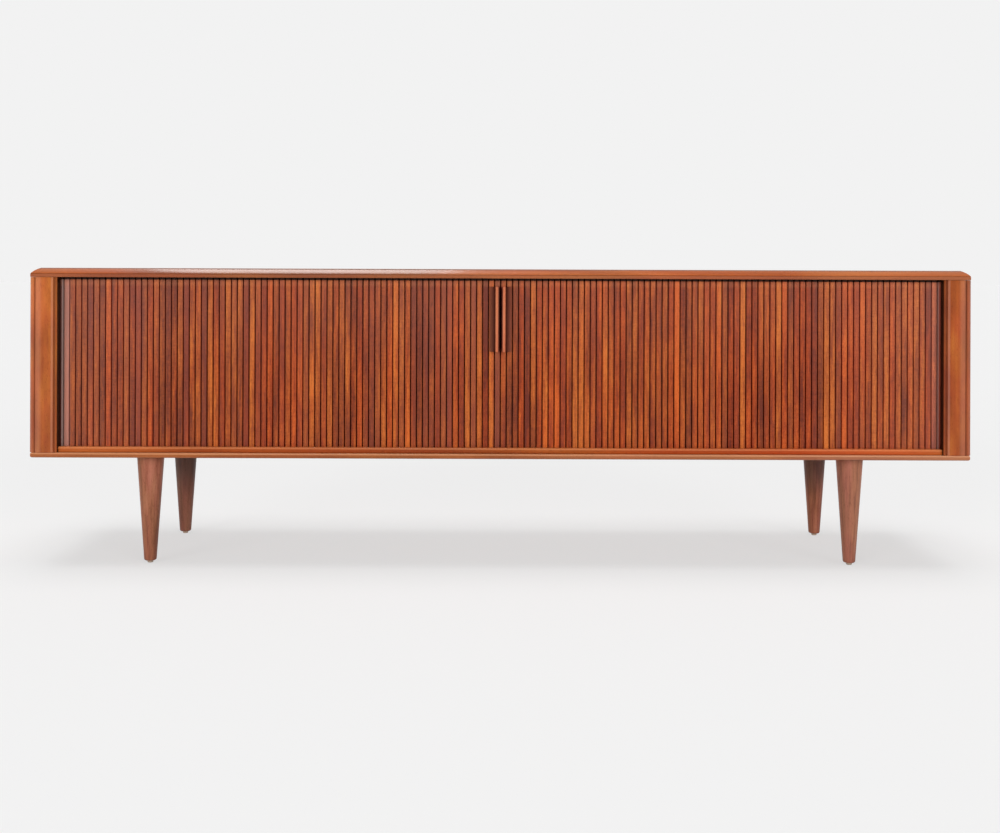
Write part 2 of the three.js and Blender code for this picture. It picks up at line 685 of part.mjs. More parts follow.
// Doors
const lastSlat = SLATS_IN_FRONT + TAIL_SLATS - 1;
for (const [word, side] of [["left", -1], ["right", 1]]) {
  addPiece(`${word}_meeting_slat`, meetingSlat(side), "slatTeak");
  addPiece(`${word}_lead_slats`, slatStrip(side, 1, LEAD_SLATS, SLAT_SPLIT_GAP), "slatTeak");
  addPiece(`${word}_tambour_curtain`, slatStrip(side, LEAD_SLATS + 1, lastSlat, SLAT_SPLIT_GAP), "slatTeak");
  addPiece(`${word}_handle`, handle(side), "handleTeak");
  SCREW_HEIGHTS.forEach((z, k) => addPiece(`${word}_handle_screw_${k + 1}`, handleScrew(side, z), "steel"));
  addPiece(`${word}_door_stop`, doorStop(side), "innerTeak");
}

export default cabinet;
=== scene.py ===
"""Dresses the tambour door cabinet: slats, handles, legs and screws, and a finish for every surface."""

import json
import logging
import math
from collections.abc import Callable, Iterator
from contextlib import contextmanager
from dataclasses import dataclass, field
from enum import Enum
from typing import Any

import bmesh
import bpy
import numpy as np
from mathutils import Matrix, Vector


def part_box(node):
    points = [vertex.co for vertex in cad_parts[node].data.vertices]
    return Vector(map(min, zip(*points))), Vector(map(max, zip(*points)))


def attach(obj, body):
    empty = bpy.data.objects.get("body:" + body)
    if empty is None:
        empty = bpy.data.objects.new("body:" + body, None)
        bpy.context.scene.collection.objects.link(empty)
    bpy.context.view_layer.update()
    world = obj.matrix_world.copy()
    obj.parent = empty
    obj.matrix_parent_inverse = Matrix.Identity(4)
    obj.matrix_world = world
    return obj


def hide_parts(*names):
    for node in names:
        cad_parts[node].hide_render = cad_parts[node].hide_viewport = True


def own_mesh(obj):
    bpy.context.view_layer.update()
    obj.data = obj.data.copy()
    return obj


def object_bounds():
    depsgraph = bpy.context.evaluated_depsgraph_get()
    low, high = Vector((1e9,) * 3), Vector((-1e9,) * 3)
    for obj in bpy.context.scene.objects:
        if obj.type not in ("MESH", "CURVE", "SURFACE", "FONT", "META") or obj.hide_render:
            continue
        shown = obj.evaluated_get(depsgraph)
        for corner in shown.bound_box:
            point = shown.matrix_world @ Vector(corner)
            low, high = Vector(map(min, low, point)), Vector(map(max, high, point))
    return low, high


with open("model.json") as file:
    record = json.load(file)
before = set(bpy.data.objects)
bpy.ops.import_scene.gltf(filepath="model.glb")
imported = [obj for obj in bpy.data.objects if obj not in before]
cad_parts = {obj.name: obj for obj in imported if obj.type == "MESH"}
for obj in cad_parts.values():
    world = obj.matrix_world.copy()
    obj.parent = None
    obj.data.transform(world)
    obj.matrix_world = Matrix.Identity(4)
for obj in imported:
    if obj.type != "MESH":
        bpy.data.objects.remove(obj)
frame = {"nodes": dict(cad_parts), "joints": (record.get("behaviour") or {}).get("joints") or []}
CAD_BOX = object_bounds()

MM = 0.001
# Two places this close count as one
NEAR = 0.02 * MM
# The least part of a face's normal along an axis, for a face that looks along it
FACING = 0.9
# The soft edge of a band in a finish, in millimetres
BAND_EDGE = 0.6
BODY_CASE = "case"

log = logging.getLogger("tambour_cabinet")

Pair = tuple[float, float]
Triple = tuple[float, float, float]
Colour = Triple


class Side(Enum):
    """The two halves of the cabinet, each as the sign of its X."""

    LEFT = -1
    RIGHT = 1

    @property
    def word(self) -> str:
        """The side's name as the nodes spell it."""
        return self.name.lower()

    @property
    def door(self) -> str:
        """The body that this side's door belongs to."""
        return f"{self.word}_door"


class Grain(Enum):
    """The axis that a piece's grain runs along, as a unit vector."""

    ALONG_X = (1.0, 0.0, 0.0)
    ALONG_Z = (0.0, 0.0, 1.0)

    def stretch(self, along: float, across: float) -> Triple:
        """The scale of each axis for so many features per metre along the grain and across it."""
        return tuple(along if part else across for part in self.value)


class Ruler(Enum):
    """What a painted band's place is measured along: an axis, and whether its two halves count alike."""

    HEIGHT = ("Z", True)
    LENGTH = ("X", False)
    FROM_MIDDLE = ("X", True)


class Signal:
    """An output socket of a node tree, with the arithmetic that finishes are written in."""

    def __init__(self, graph: "Graph", socket: bpy.types.NodeSocket) -> None:
        """Keeps the socket and the graph it belongs to."""
        self.graph = graph
        self.socket = socket

    def maths(self, operation: str, *terms: Any) -> "Signal":
        """The result of a Math node on signals or numbers, in order."""
        return self.graph.node("ShaderNodeMath", {"operation": operation}, list(terms))

    def __add__(self, other: Any) -> "Signal":
        """This plus other."""
        return self.maths("ADD", self, other)

    __radd__ = __add__

    def __sub__(self, other: Any) -> "Signal":
        """This minus other."""
        return self.maths("SUBTRACT", self, other)

    def __rsub__(self, other: Any) -> "Signal":
        """Other minus this."""
        return self.maths("SUBTRACT", other, self)

    def __mul__(self, other: Any) -> "Signal":
        """This times other."""
        return self.maths("MULTIPLY", self, other)

    def __pow__(self, other: Any) -> "Signal":
        """This to the power of other."""
        return self.maths("POWER", self, other)

    def sine(self) -> "Signal":
        """The sine of this."""
        return self.maths("SINE", self)

    def size(self) -> "Signal":
        """This without its sign."""
        return self.maths("ABSOLUTE", self)

    def ramped(self, low: float, high: float) -> "Signal":
        """A smooth step that is 0 below low and 1 above high."""
        settings = {"interpolation_type": "SMOOTHSTEP"}
        return self.graph.node("ShaderNodeMapRange", settings, [self, low, high, 0.0, 1.0])


class Graph:
    """A material or world node tree under construction."""

    def __init__(self, tree: bpy.types.NodeTree) -> None:
        """Clears the tree, ready for new nodes."""
        self.tree = tree
        tree.nodes.clear()

    @classmethod
    def of_material(cls, name: str) -> tuple["Graph", bpy.types.Material]:
        """Makes an empty node material.

        Args:
            name: the material's name.

        Returns:
            Its graph and the material.
        """
        material = bpy.data.materials.new(name)
        material.use_nodes = True
        return cls(material.node_tree), material

    def feed(self, socket: bpy.types.NodeSocket, value: Any) -> None:
        """Links a signal to a socket, or sets the socket's own value.

        Args:
            socket: the input to feed.
            value: a signal, or a plain value.
        """
        if isinstance(value, Signal):
            self.tree.links.new(value.socket, socket)
        else:
            socket.default_value = value

    def node(
        self,
        kind: str,
        settings: dict[str, Any] | None = None,
        inputs: dict[Any, Any] | list[Any] | None = None,
        output: int | str = 0,
    ) -> Signal:
        """Adds one node.

        Args:
            kind: the node's type name.
            settings: its settings, with stops for a colour ramp.
            inputs: values or signals, by socket name or number, or in order.
            output: which output to return.

        Returns:
            The chosen output.
        """
        made = self.tree.nodes.new(kind)
        for key, value in (settings or {}).items():
            if key == "stops":
                self.set_stops(made.color_ramp, value)
            else:
                setattr(made, key, value)
        pairs = inputs.items() if isinstance(inputs, dict) else enumerate(inputs or ())
        for key, value in pairs:
            self.feed(made.inputs[key], value)
        return Signal(self, made.outputs[output])

    def end(self, kind: str, surface: Signal) -> None:
        """Adds the tree's output node and links its surface."""
        self.feed(self.tree.nodes.new(kind).inputs["Surface"], surface)

    @staticmethod
    def set_stops(ramp: bpy.types.ColorRamp, stops: list[tuple[float, Colour]]) -> None:
        """Gives a colour ramp its stops, in place of the two it starts with.

        Args:
            ramp: the ramp.
            stops: each stop's position and colour, in order.
        """
        while len(ramp.elements) < len(stops):
            ramp.elements.new(0.5)
        for element, (position, colour) in zip(ramp.elements, stops):
            element.position = position
            element.color = (*colour, 1.0)

    def blend(self, share: Any, first: Any, second: Any, mode: str = "MIX") -> Signal:
        """Mixes two colours.

        Args:
            share: how much of the second, from 0 to 1.
            first: a colour or signal.
            second: a colour or signal.
            mode: the Mix node's blend type.

        Returns:
            The mixed colour.
        """
        factor, first_in, second_in, result = 0, 6, 7, 2
        settings = {"data_type": "RGBA", "blend_type": mode, "clamp_factor": True}
        sockets = {factor: share, first_in: self.opaque(first), second_in: self.opaque(second)}
        return self.node("ShaderNodeMix", settings, sockets, result)

    @staticmethod
    def opaque(colour: Any) -> Any:
        """A colour with an alpha of 1, or the signal as it is."""
        return colour if isinstance(colour, Signal) else (*colour, 1.0)

    def vector(self, operation: str, first: Any, second: Any) -> Signal:
        """Adds a Vector Math node on two vectors."""
        return self.node("ShaderNodeVectorMath", {"operation": operation}, [first, second])

    def along(self, place: Signal, axis: str) -> Signal:
        """One coordinate of a place."""
        return self.node("ShaderNodeSeparateXYZ", None, [place], axis)

    def between(self, place: Signal, axis: str, low: float, high: float) -> Signal:
        """Marks a band across the piece.

        Args:
            place: the Object coordinates.
            axis: the axis that it is measured along.
            low: where it starts, in millimetres.
            high: where it ends, in millimetres.

        Returns:
            1 in the band and 0 beyond it, with narrow soft edges.
        """
        reach = self.along(place, axis)
        above = reach.ramped(low * MM, (low + BAND_EDGE) * MM)
        return above * (1 - reach.ramped(high * MM, (high + BAND_EDGE) * MM))

    def noise(self, place: Signal, detail: float, roughness: float = 0.5) -> Signal:
        """Noise around 0.5, with one feature per unit of place and finer layers."""
        inputs = {"Vector": place, "Scale": 1.0, "Detail": detail, "Roughness": roughness}
        return self.node("ShaderNodeTexNoise", {"noise_dimensions": "3D"}, inputs, "Fac")

    def attribute(self, name: str) -> Signal:
        """Reads a number that the piece carries on its points."""
        settings = {"attribute_type": "GEOMETRY", "attribute_name": name}
        return self.node("ShaderNodeAttribute", settings, output="Fac")

    def bump(self, height: Signal, strength: float, distance: float) -> Signal:
        """A normal raised by a height signal."""
        inputs = {"Strength": strength, "Distance": distance, "Height": height}
        return self.node("ShaderNodeBump", None, inputs)

    def surface(self, sockets: dict[str, Any]) -> None:
        """Ends a material in a Principled shader with these socket values."""
        shader = self.node("ShaderNodeBsdfPrincipled", None, sockets)
        self.end("ShaderNodeOutputMaterial", shader)


@dataclass(frozen=True)
class Stain:
    """A band of colour painted over the wood, with its sizes in millimetres: most are painted shade,
    shadow, highlight and sheen, and a few only tint the wood.
    """

    ruler: Ruler
    centre: float
    half: float
    soft: float
    strength: float
    colour: Colour = (0.0, 0.0, 0.0)
    within: tuple[tuple[str, float, float], ...] = ()

    def laid(self, graph: Graph, place: Signal, ground: Signal) -> Signal:
        """Lays the band over a colour.

        Args:
            graph: the material's graph.
            place: the Object coordinates.
            ground: the colour under it.

        Returns:
            The ground away from the band, mixed with the band's colour within it.
        """
        axis, halves_alike = self.ruler.value
        reach = graph.along(place, axis)
        if halves_alike:
            reach = reach.size()
        away = (reach - self.centre * MM).size()
        share = 1 - away.ramped(self.half * MM, (self.half + self.soft) * MM)
        for axis, low, high in self.within:
            share = share * graph.between(place, axis, low, high)
        return graph.blend(share * self.strength, ground, self.colour)


@dataclass(frozen=True)
class Pattern:
    """Noise that runs with the grain: features per metre along and across it, and finer layers."""

    scale: Pair
    detail: float = 2.0
    finer: float = 0.5


@dataclass(frozen=True)
class WoodFinish:
    """Lacquered wood: its deep, middle and pale tone, how its figure runs and how it shines."""

    name: str
    grain: Grain
    tones: tuple[Colour, Colour, Colour]
    offset: Triple = (0.0, 0.0, 0.0)
    figure: Pattern = Pattern((0.9, 6.0), finer=0.45)
    rings: float = 9.0
    ring_share: float = 0.22
    drift: Pattern = Pattern((3.0, 16.0), finer=0.6)
    drift_share: float = 0.75
    streaks: Pattern = Pattern((5.0, 190.0), 4.0, 0.6)
    streak_share: float = 0.6
    streak_dulls: float = 0.12
    streak_height: float = 0.4
    ripples: Pattern = Pattern((260.0, 90.0), 1.0)
    ripple_share: float = 0.0
    fibres: Pattern = Pattern((150.0, 800.0))
    pore_range: Pair = (0.56, 0.72)
    pore_share: float = 0.4
    pore_dulls: float = 0.08
    pore_depth: float = 0.6
    relief: Pair = (0.18, 0.25 * MM)
    red: Colour = (1.02, 0.93, 0.92)
    gold: Colour = (0.99, 1.09, 1.02)
    hue_range: Pair = (0.34, 0.66)
    hue_offset: Triple = (5.3, 1.7, 8.1)
    roughness: float = 0.42
    specular: float = 0.2
    coat: float = 0.12
    coat_roughness: float = 0.16
    coat_band: Pair | None = None
    stains: tuple[Stain, ...] = ()
    shaded: bool = False
    shade_powers: Triple = (1.0, 1.0, 1.0)
    shade_floor: float = 0.0
    by_slat: bool = False
    slat_offset: Triple = (0.37, 0.71, 1.93)
    slat_hue_share: float = 0.4
    cool: Colour = (0.20, 0.052, 0.035)
    cool_by_drift: float = 1.2

    def make(self) -> bpy.types.Material:
        """Builds the material.

        Returns:
            A material that reads Object coordinates, and slat attributes where by_slat is set.
        """
        graph, material = Graph.of_material(self.name)
        fixed = graph.node("ShaderNodeTexCoord", output="Object")
        place = graph.vector("ADD", fixed, self.offset)
        if self.by_slat:
            seed = graph.attribute("slat_seed")
            shift = graph.node("ShaderNodeCombineXYZ", None, [seed * part for part in self.slat_offset])
            place = graph.vector("ADD", place, shift)
        streaks = self.noise(graph, place, self.streaks)
        pores = self.noise(graph, place, self.fibres).ramped(*self.pore_range)
        colour = self.coloured(graph, place, streaks)
        colour = graph.blend(pores * self.pore_share, colour, self.tones[0], "MULTIPLY")
        if self.shaded:
            colour = self.dimmed(graph, colour)
        for painted_band in self.stains:
            colour = painted_band.laid(graph, fixed, colour)
        coat = self.coat
        if self.coat_band:
            coat = graph.between(fixed, "Z", *self.coat_band) * self.coat
        dulled = self.roughness + (streaks - 0.5) * self.streak_dulls + pores * self.pore_dulls
        height = streaks * self.streak_height - pores * self.pore_depth
        graph.surface(
            {
                "Base Color": colour,
                "Roughness": dulled,
                "Normal": graph.bump(height, *self.relief),
                "Specular IOR Level": self.specular,
                "Coat Weight": coat,
                "Coat Roughness": self.coat_roughness,
            }
        )
        return material

    def coloured(self, graph: Graph, place: Signal, streaks: Signal) -> Signal:
        """Colours the wood by its rings, its slow drift and its streaks.

        Args:
            graph: the material's graph.
            place: the coordinates, shifted for this piece of wood.
            streaks: the fine streaks along the grain.

        Returns:
            The colour before pores, painted shade and painted bands.
        """
        rings = (self.noise(graph, place, self.figure) * (math.tau * self.rings)).sine()
        slow = self.stretched(graph, place, self.drift)
        aside = graph.vector("ADD", slow, self.hue_offset)
        layers = (self.drift.detail, self.drift.finer)
        drift, hue = (graph.noise(spot, *layers) for spot in (slow, aside))
        tone = (
            0.5
            + rings * self.ring_share * 0.5
            + (drift - 0.5) * self.drift_share
            + (streaks - 0.5) * self.streak_share
        )
        if self.ripple_share:
            tone = tone + (self.noise(graph, place, self.ripples) - 0.5) * self.ripple_share
        if self.by_slat:
            tone = tone + (graph.attribute("slat_tone") - 0.5)
            hue = hue + (graph.attribute("slat_hue") - 0.5) * self.slat_hue_share
        stops = list(zip((0.0, 0.5, 1.0), self.tones))
        colour = graph.node("ShaderNodeValToRGB", {"stops": stops}, [tone], "Color")
        tint = graph.blend(hue.ramped(*self.hue_range), self.red, self.gold)
        colour = graph.vector("MULTIPLY", colour, tint)
        if self.by_slat:
            coolness = graph.attribute("slat_cool") + (0.5 - drift) * self.cool_by_drift
            colour = graph.blend(coolness, colour, self.cool)
        return colour

    def dimmed(self, graph: Graph, colour: Signal) -> Signal:
        """Darkens a colour by the shade that the piece carries, each channel by its own power.

        Args:
            graph: the material's graph.
            colour: the colour in full light.

        Returns:
            The darkened colour.
        """
        shade = graph.attribute("shade")
        depth = shade.maths("MAXIMUM", shade, self.shade_floor)
        levels = [shade * depth ** (power - 1) for power in self.shade_powers]
        dimmer = graph.node("ShaderNodeCombineXYZ", None, levels)
        return graph.vector("MULTIPLY", colour, dimmer)

    def stretched(self, graph: Graph, place: Signal, pattern: Pattern) -> Signal:
        """Coordinates that make a pattern run with the grain."""
        return graph.vector("MULTIPLY", place, self.grain.stretch(*pattern.scale))

    def noise(self, graph: Graph, place: Signal, pattern: Pattern) -> Signal:
        """A pattern along the grain, as a value around 0.5."""
        return graph.noise(self.stretched(graph, place, pattern), pattern.detail, pattern.finer)


@dataclass(frozen=True)
class MetalFinish:
    """Plain metal with the faint lines that turning or rolling leaves."""

    name: str
    colour: Colour
    roughness: float
    lines_per_metre: float = 900.0
    clouds_per_metre: float = 60.0
    cloud_range: Pair = (0.35, 0.7)
    cloud_colour: float = 0.72
    lines_dull: float = 0.25
    relief: Pair = (0.1, 0.05 * MM)

    def make(self) -> bpy.types.Material:
        """Builds the material.

        Returns:
            A material with its colour and gloss broken up by fine lines.
        """
        graph, material = Graph.of_material(self.name)
        place = graph.node("ShaderNodeTexCoord", output="Object")
        fine, soft = (
            graph.noise(graph.vector("MULTIPLY", place, (scale,) * 3), 2.0)
            for scale in (self.lines_per_metre, self.clouds_per_metre)
        )
        dull = tuple(part * self.cloud_colour for part in self.colour)
        graph.surface(
            {
                "Base Color": graph.blend(soft.ramped(*self.cloud_range), self.colour, dull),
                "Metallic": 1.0,
                "Roughness": self.roughness + (fine - 0.5) * self.lines_dull,
                "Normal": graph.bump(fine, *self.relief),
            }
        )
        return material


@dataclass(frozen=True)
class PlasticFinish:
    """Hard moulded plastic, a little scuffed."""

    name: str
    colour: Colour
    worn: Colour
    roughness: float
    scuff_scale: Triple = (320.0, 320.0, 900.0)
    scuff_range: Pair = (0.5, 0.72)
    scuff_share: float = 0.6
    scuffs_dull: float = 0.2
    relief: Pair = (0.12, 0.1 * MM)

    def make(self) -> bpy.types.Material:
        """Builds the material.

        Returns:
            A material with scuffs that darken and dull it.
        """
        graph, material = Graph.of_material(self.name)
        place = graph.node("ShaderNodeTexCoord", output="Object")
        scuffs = graph.noise(graph.vector("MULTIPLY", place, self.scuff_scale), 3.0)
        mask = scuffs.ramped(*self.scuff_range)
        graph.surface(
            {
                "Base Color": graph.blend(mask * self.scuff_share, self.colour, self.worn),
                "Roughness": self.roughness + mask * self.scuffs_dull,
                "Normal": graph.bump(scuffs, *self.relief),
            }
        )
        return material


@dataclass(frozen=True)
class CanvasFinish:
    """Dark woven canvas that the slats are glued on."""

    name: str
    colour: Colour
    thread: Colour
    threads_per_metre: float = 1100.0
    roughness: float = 0.92
    relief: Pair = (0.3, 0.15 * MM)

    def make(self) -> bpy.types.Material:
        """Builds the material.

        Returns:
            A material with warp and weft from two crossed waves.
        """
        graph, material = Graph.of_material(self.name)
        place = graph.node("ShaderNodeTexCoord", output="Object")
        turn = math.tau * self.threads_per_metre
        warp, weft = ((graph.along(place, axis) * turn).sine() for axis in ("X", "Z"))
        weave = warp * weft * 0.5 + 0.5
        graph.surface(
            {
                "Base Color": graph.blend(weave, self.colour, self.thread),
                "Roughness": self.roughness,
                "Normal": graph.bump(weave, *self.relief),
            }
        )
        return material


@dataclass
class Palette:
    """Every finish of the cabinet, made once and kept by its name."""

    made: dict[str, bpy.types.Material] = field(init=False)

    def __post_init__(self) -> None:
        """Makes each material from its finish."""
        groups = (self.boards, self.uprights, self.doors, self.legs, self.inside, self.fittings)
        self.made = {finish.name: finish.make() for group in groups for finish in group()}

    def __getitem__(self, name: str) -> bpy.types.Material:
        """The material of one finish."""
        return self.made[name]

    @staticmethod
    def boards() -> list[WoodFinish]:
        """Lists the finishes of the long boards in front.

        Returns:
            The top's, the bottom's and the rail's.
        """
        height, length, middle = Ruler
        front = ("Y", -240, -211)
        top_painted_bands = (
            # Painted shade in the quirk below the bevel.
            Stain(height, 658.4, 0.7, 0.8, 0.2),
            # Painted sheen: a pale grey cast over the top board's upright front edge.
            Stain(height, 654.5, 3.5, 0.8, 0.1, (0.2, 0.27, 0.29)),
            # A dark line along the upper arris of the bevel.
            Stain(height, 670.3, 0.6, 0.55, 0.5),
            # Painted shade on the bevel's left half, under the gloss strip's highlight, so that the
            # highlight reads whiter.
            Stain(length, -470, 280, 130, 0.42, (0.0, 0.006, 0.001), (front, ("Z", 658.6, 670.4))),
            # Painted shade on the left part of the top board's upright front edge.
            Stain(length, -560, 300, 200, 0.12, within=(front, ("Z", 640, 658))),
            # Lighter and warmer towards the right end.
            Stain(length, 900, 120, 160, 0.1, (0.75, 0.3, 0.12)),
        )
        bottom_painted_bands = (
            # Painted highlight along the lip's upper arris.
            Stain(height, 257.6, 1.2, 1.2, 0.32, (0.8, 0.42, 0.23)),
            # This band and the next make the lip lighter and warmer towards the right.
            Stain(length, 900, 100, 220, 0.06, (0.9, 0.5, 0.4)),
            Stain(length, 600, 400, 200, 0.05, (0.9, 0.5, 0.35)),
        )
        rail_painted_bands = (
            # Warmer and more orange towards both ends.
            Stain(middle, 920, 60, 220, 0.2, (0.9, 0.25, 0.06)),
            # Redder towards the right.
            Stain(length, 600, 250, 200, 0.1, (1.0, 0.04, 0.0)),
            # Painted highlight along the rail's upper arris, where light from above falls.
            Stain(height, 269.6, 1.4, 1.4, 0.26, (0.8, 0.34, 0.15)),
            # A dark line along the rail's lower edge.
            Stain(height, 259.6, 0.8, 1.2, 0.25),
        )
        top = WoodFinish(
            "teak_top",
            Grain.ALONG_X,
            ((0.23, 0.040, 0.006), (0.35, 0.076, 0.011), (0.44, 0.12, 0.024)),
            offset=(3.1, 0.4, 0.0),
            specular=0.12,
            coat=0.27,
            coat_roughness=0.15,
            coat_band=(658.3, 670.4),
            stains=top_painted_bands,
        )
        bottom = WoodFinish(
            "teak_bottom",
            Grain.ALONG_X,
            ((0.185, 0.042, 0.011), (0.322, 0.085, 0.022), (0.44, 0.14, 0.043)),
            offset=(7.7, 1.3, 0.2),
            stains=bottom_painted_bands,
        )
        rail = WoodFinish(
            "teak_rail",
            Grain.ALONG_X,
            ((0.175, 0.027, 0.002), (0.305, 0.051, 0.004), (0.42, 0.09, 0.01)),
            offset=(5.2, 2.9, 0.5),
            stains=rail_painted_bands,
        )
        return [top, bottom, rail]

    @staticmethod
    def uprights() -> list[WoodFinish]:
        """Lists the finishes of the front posts and the side panels.

        Returns:
            The two posts' and the two sides', left before right.
        """
        bands = (
            # Painted reflection on the post's rounded outer edge.
            (1048, 3, 3, 0.1, (0.8, 0.5, 0.38)),
            # Painted sheen over the outer part of the post's face.
            (1033, 3, 9, 0.12, (0.8, 0.46, 0.3)),
            # Painted shade in the outer quirk.
            (1039, 1.2, 1.8, 0.3, (0.1, 0.02, 0.008)),
            # Painted highlight along the inner edge of the face.
            (1000.6, 1.2, 2.4, 0.12, (0.8, 0.5, 0.4)),
            # Painted shade in the inner quirk beside the bead.
            (995.3, 1.6, 1.8, 0.5, (0.09, 0.012, 0.004)),
            # Painted shade on the bead, which turns away from the light.
            (992, 1.6, 1, 0.2),
            # Painted shade: the post's inner side made nearly black.
            (988.4, 0.8, 0.5, 0.94),
        )
        stains = tuple(Stain(Ruler.FROM_MIDDLE, *band) for band in bands)
        light = ((0.257, 0.049, 0.015), (0.433, 0.107, 0.025), (0.577, 0.177, 0.045))
        # A darker copy of the tones for the right post: painted shade.
        shaded_post_tones = ((0.196, 0.033, 0.008), (0.348, 0.069, 0.015), (0.49, 0.13, 0.03))
        posts = [
            WoodFinish(
                f"teak_post_{side.word}",
                Grain.ALONG_Z,
                tones,
                offset=(shift, 0.7, shift),
                drift=Pattern((7.0, 20.0), 3.0, 0.6),
                drift_share=1.5,
                red=(1.0, 0.88, 0.9),
                gold=(1.03, 1.16, 0.85),
                coat=0.1,
                coat_roughness=0.3,
                stains=stains,
            )
            for side, tones, shift in ((Side.LEFT, light, 1.9), (Side.RIGHT, shaded_post_tones, 4.6))
        ]
        sides = [
            WoodFinish(f"teak_side_{side.word}", Grain.ALONG_Z, light, offset=(shift, 2.2, shift))
            for side, shift in ((Side.LEFT, 6.3), (Side.RIGHT, 8.8))
        ]
        return [*posts, *sides]

    @staticmethod
    def doors() -> list[WoodFinish | CanvasFinish]:
        """Lists the finishes of the doors.

        Returns:
            The slats', the canvas's and the handles'.
        """
        height, length, middle = Ruler
        # The colour of painted sheen.
        painted_sheen = (0.60, 0.29, 0.24)
        slats = WoodFinish(
            "teak_slats",
            Grain.ALONG_Z,
            ((0.12, 0.0225, 0.0115), (0.34, 0.068, 0.0185), (0.577, 0.141, 0.0295)),
            rings=5.0,
            ring_share=0.1,
            drift=Pattern((3.0, 30.0), 6.0, 0.8),
            drift_share=3.0,
            ripple_share=0.45,
            red=(1.0, 0.79, 0.75),
            gold=(1.0, 1.08, 1.0),
            specular=0.12,
            coat=0.05,
            coat_roughness=0.3,
            shaded=True,
            shade_powers=(1.0, 6.0, 7.5),
            shade_floor=0.86,
            stains=(
                # Painted sheen: paler towards the top.
                Stain(height, 665, 0, 280, 0.07, painted_sheen),
                # Painted sheen: paler towards both ends.
                Stain(middle, 1000, 0, 360, 0.07, painted_sheen),
                # Painted sheen on the last slat before each post, stronger on the left.
                Stain(length, -976, 6, 5, 0.27, (0.9, 0.5, 0.4)),
                Stain(length, 976, 6, 5, 0.1, (0.75, 0.45, 0.4)),
                # Painted highlights: a thin pale line on the first slat past each turn.
                Stain(length, -985.3, 0.8, 0.9, 0.6, (0.5, 0.36, 0.32)),
                Stain(length, 983.8, 1.6, 1.2, 0.5, (0.5, 0.28, 0.24)),
                # Painted light on the slats just below the shadow under the top board.
                Stain(height, 641, 4, 8, 0.1, (0.8, 0.34, 0.15)),
                # Painted shadow under the top board's overhang.
                Stain(height, 651, 4.7, 1.6, 0.92),
            ),
            by_slat=True,
        )
        canvas = CanvasFinish("canvas", (0.02, 0.008, 0.005), (0.045, 0.018, 0.011))
        handle = WoodFinish(
            "teak_handle",
            Grain.ALONG_Z,
            ((0.36, 0.1, 0.048), (0.6, 0.185, 0.09), (0.74, 0.27, 0.14)),
            specular=0.08,
            coat=0.0,
            shaded=True,
            shade_powers=(1.0, 1.12, 1.02),
        )
        return [slats, canvas, handle]

    @staticmethod
    def legs() -> list[WoodFinish]:
        """Lists the finishes of the legs.

        Returns:
            The front legs' and the rear legs', which carry painted shadow from the case.
        """
        height, length, _ = Ruler
        painted_case_shadow = (0.046, 0.034, 0.03)
        # Painted shadow at the top of every leg, under the case.
        top = Stain(height, 248, 4, 4, 0.5)
        # Painted shadow of the case over the upper part of the rear legs.
        upper = Stain(height, 248, 76, 90, 0.58, painted_case_shadow)
        # Painted shade: the left rear leg darker still.
        left = Stain(length, -798, 40, 5, 0.4, painted_case_shadow)
        # Lighter on the front right leg.
        right = Stain(length, 798, 40, 5, 0.05, (0.9, 0.5, 0.4))
        stains = {"front": (right, top), "rear": (upper, left, top)}
        return [
            WoodFinish(
                f"teak_{end}_legs",
                Grain.ALONG_Z,
                ((0.18, 0.058, 0.032), (0.31, 0.106, 0.060), (0.41, 0.16, 0.098)),
                rings=6.0,
                drift=Pattern((4.0, 40.0), finer=0.6),
                drift_share=1.2,
                streak_share=1.9,
                red=(1.03, 0.93, 0.96),
                gold=(1.0, 1.08, 0.9),
                roughness=0.46,
                stains=bands,
            )
            for end, bands in stains.items()
        ]

    @staticmethod
    def inside() -> list[WoodFinish]:
        """Lists the finishes of the boards inside and of the back.

        Returns:
            One for level grain, one for upright grain and one for the back.
        """
        tones = ((0.17, 0.046, 0.016), (0.31, 0.092, 0.032), (0.42, 0.15, 0.06))
        woods = (
            ("teak_inner_along", Grain.ALONG_X, (0.0, 0.0, 0.0)),
            ("teak_inner_up", Grain.ALONG_Z, (2.4, 1.1, 0.9)),
            ("teak_back", Grain.ALONG_X, (9.4, 3.1, 2.6)),
        )
        return [WoodFinish(*wood[:2], tones, wood[2], roughness=0.55, coat=0.04) for wood in woods]

    @staticmethod
    def fittings() -> list[MetalFinish | PlasticFinish]:
        """Lists the finishes of the fittings.

        Returns:
            Two metals' and the glides' plastic.
        """
        steel = MetalFinish("zinc_plated_steel", (0.5, 0.5, 0.49), 0.38)
        brass = MetalFinish("turned_brass", (0.56, 0.36, 0.13), 0.32)
        glide = PlasticFinish("tan_glide", (0.42, 0.31, 0.23), (0.2, 0.14, 0.1), 0.4)
        return [steel, brass, glide]


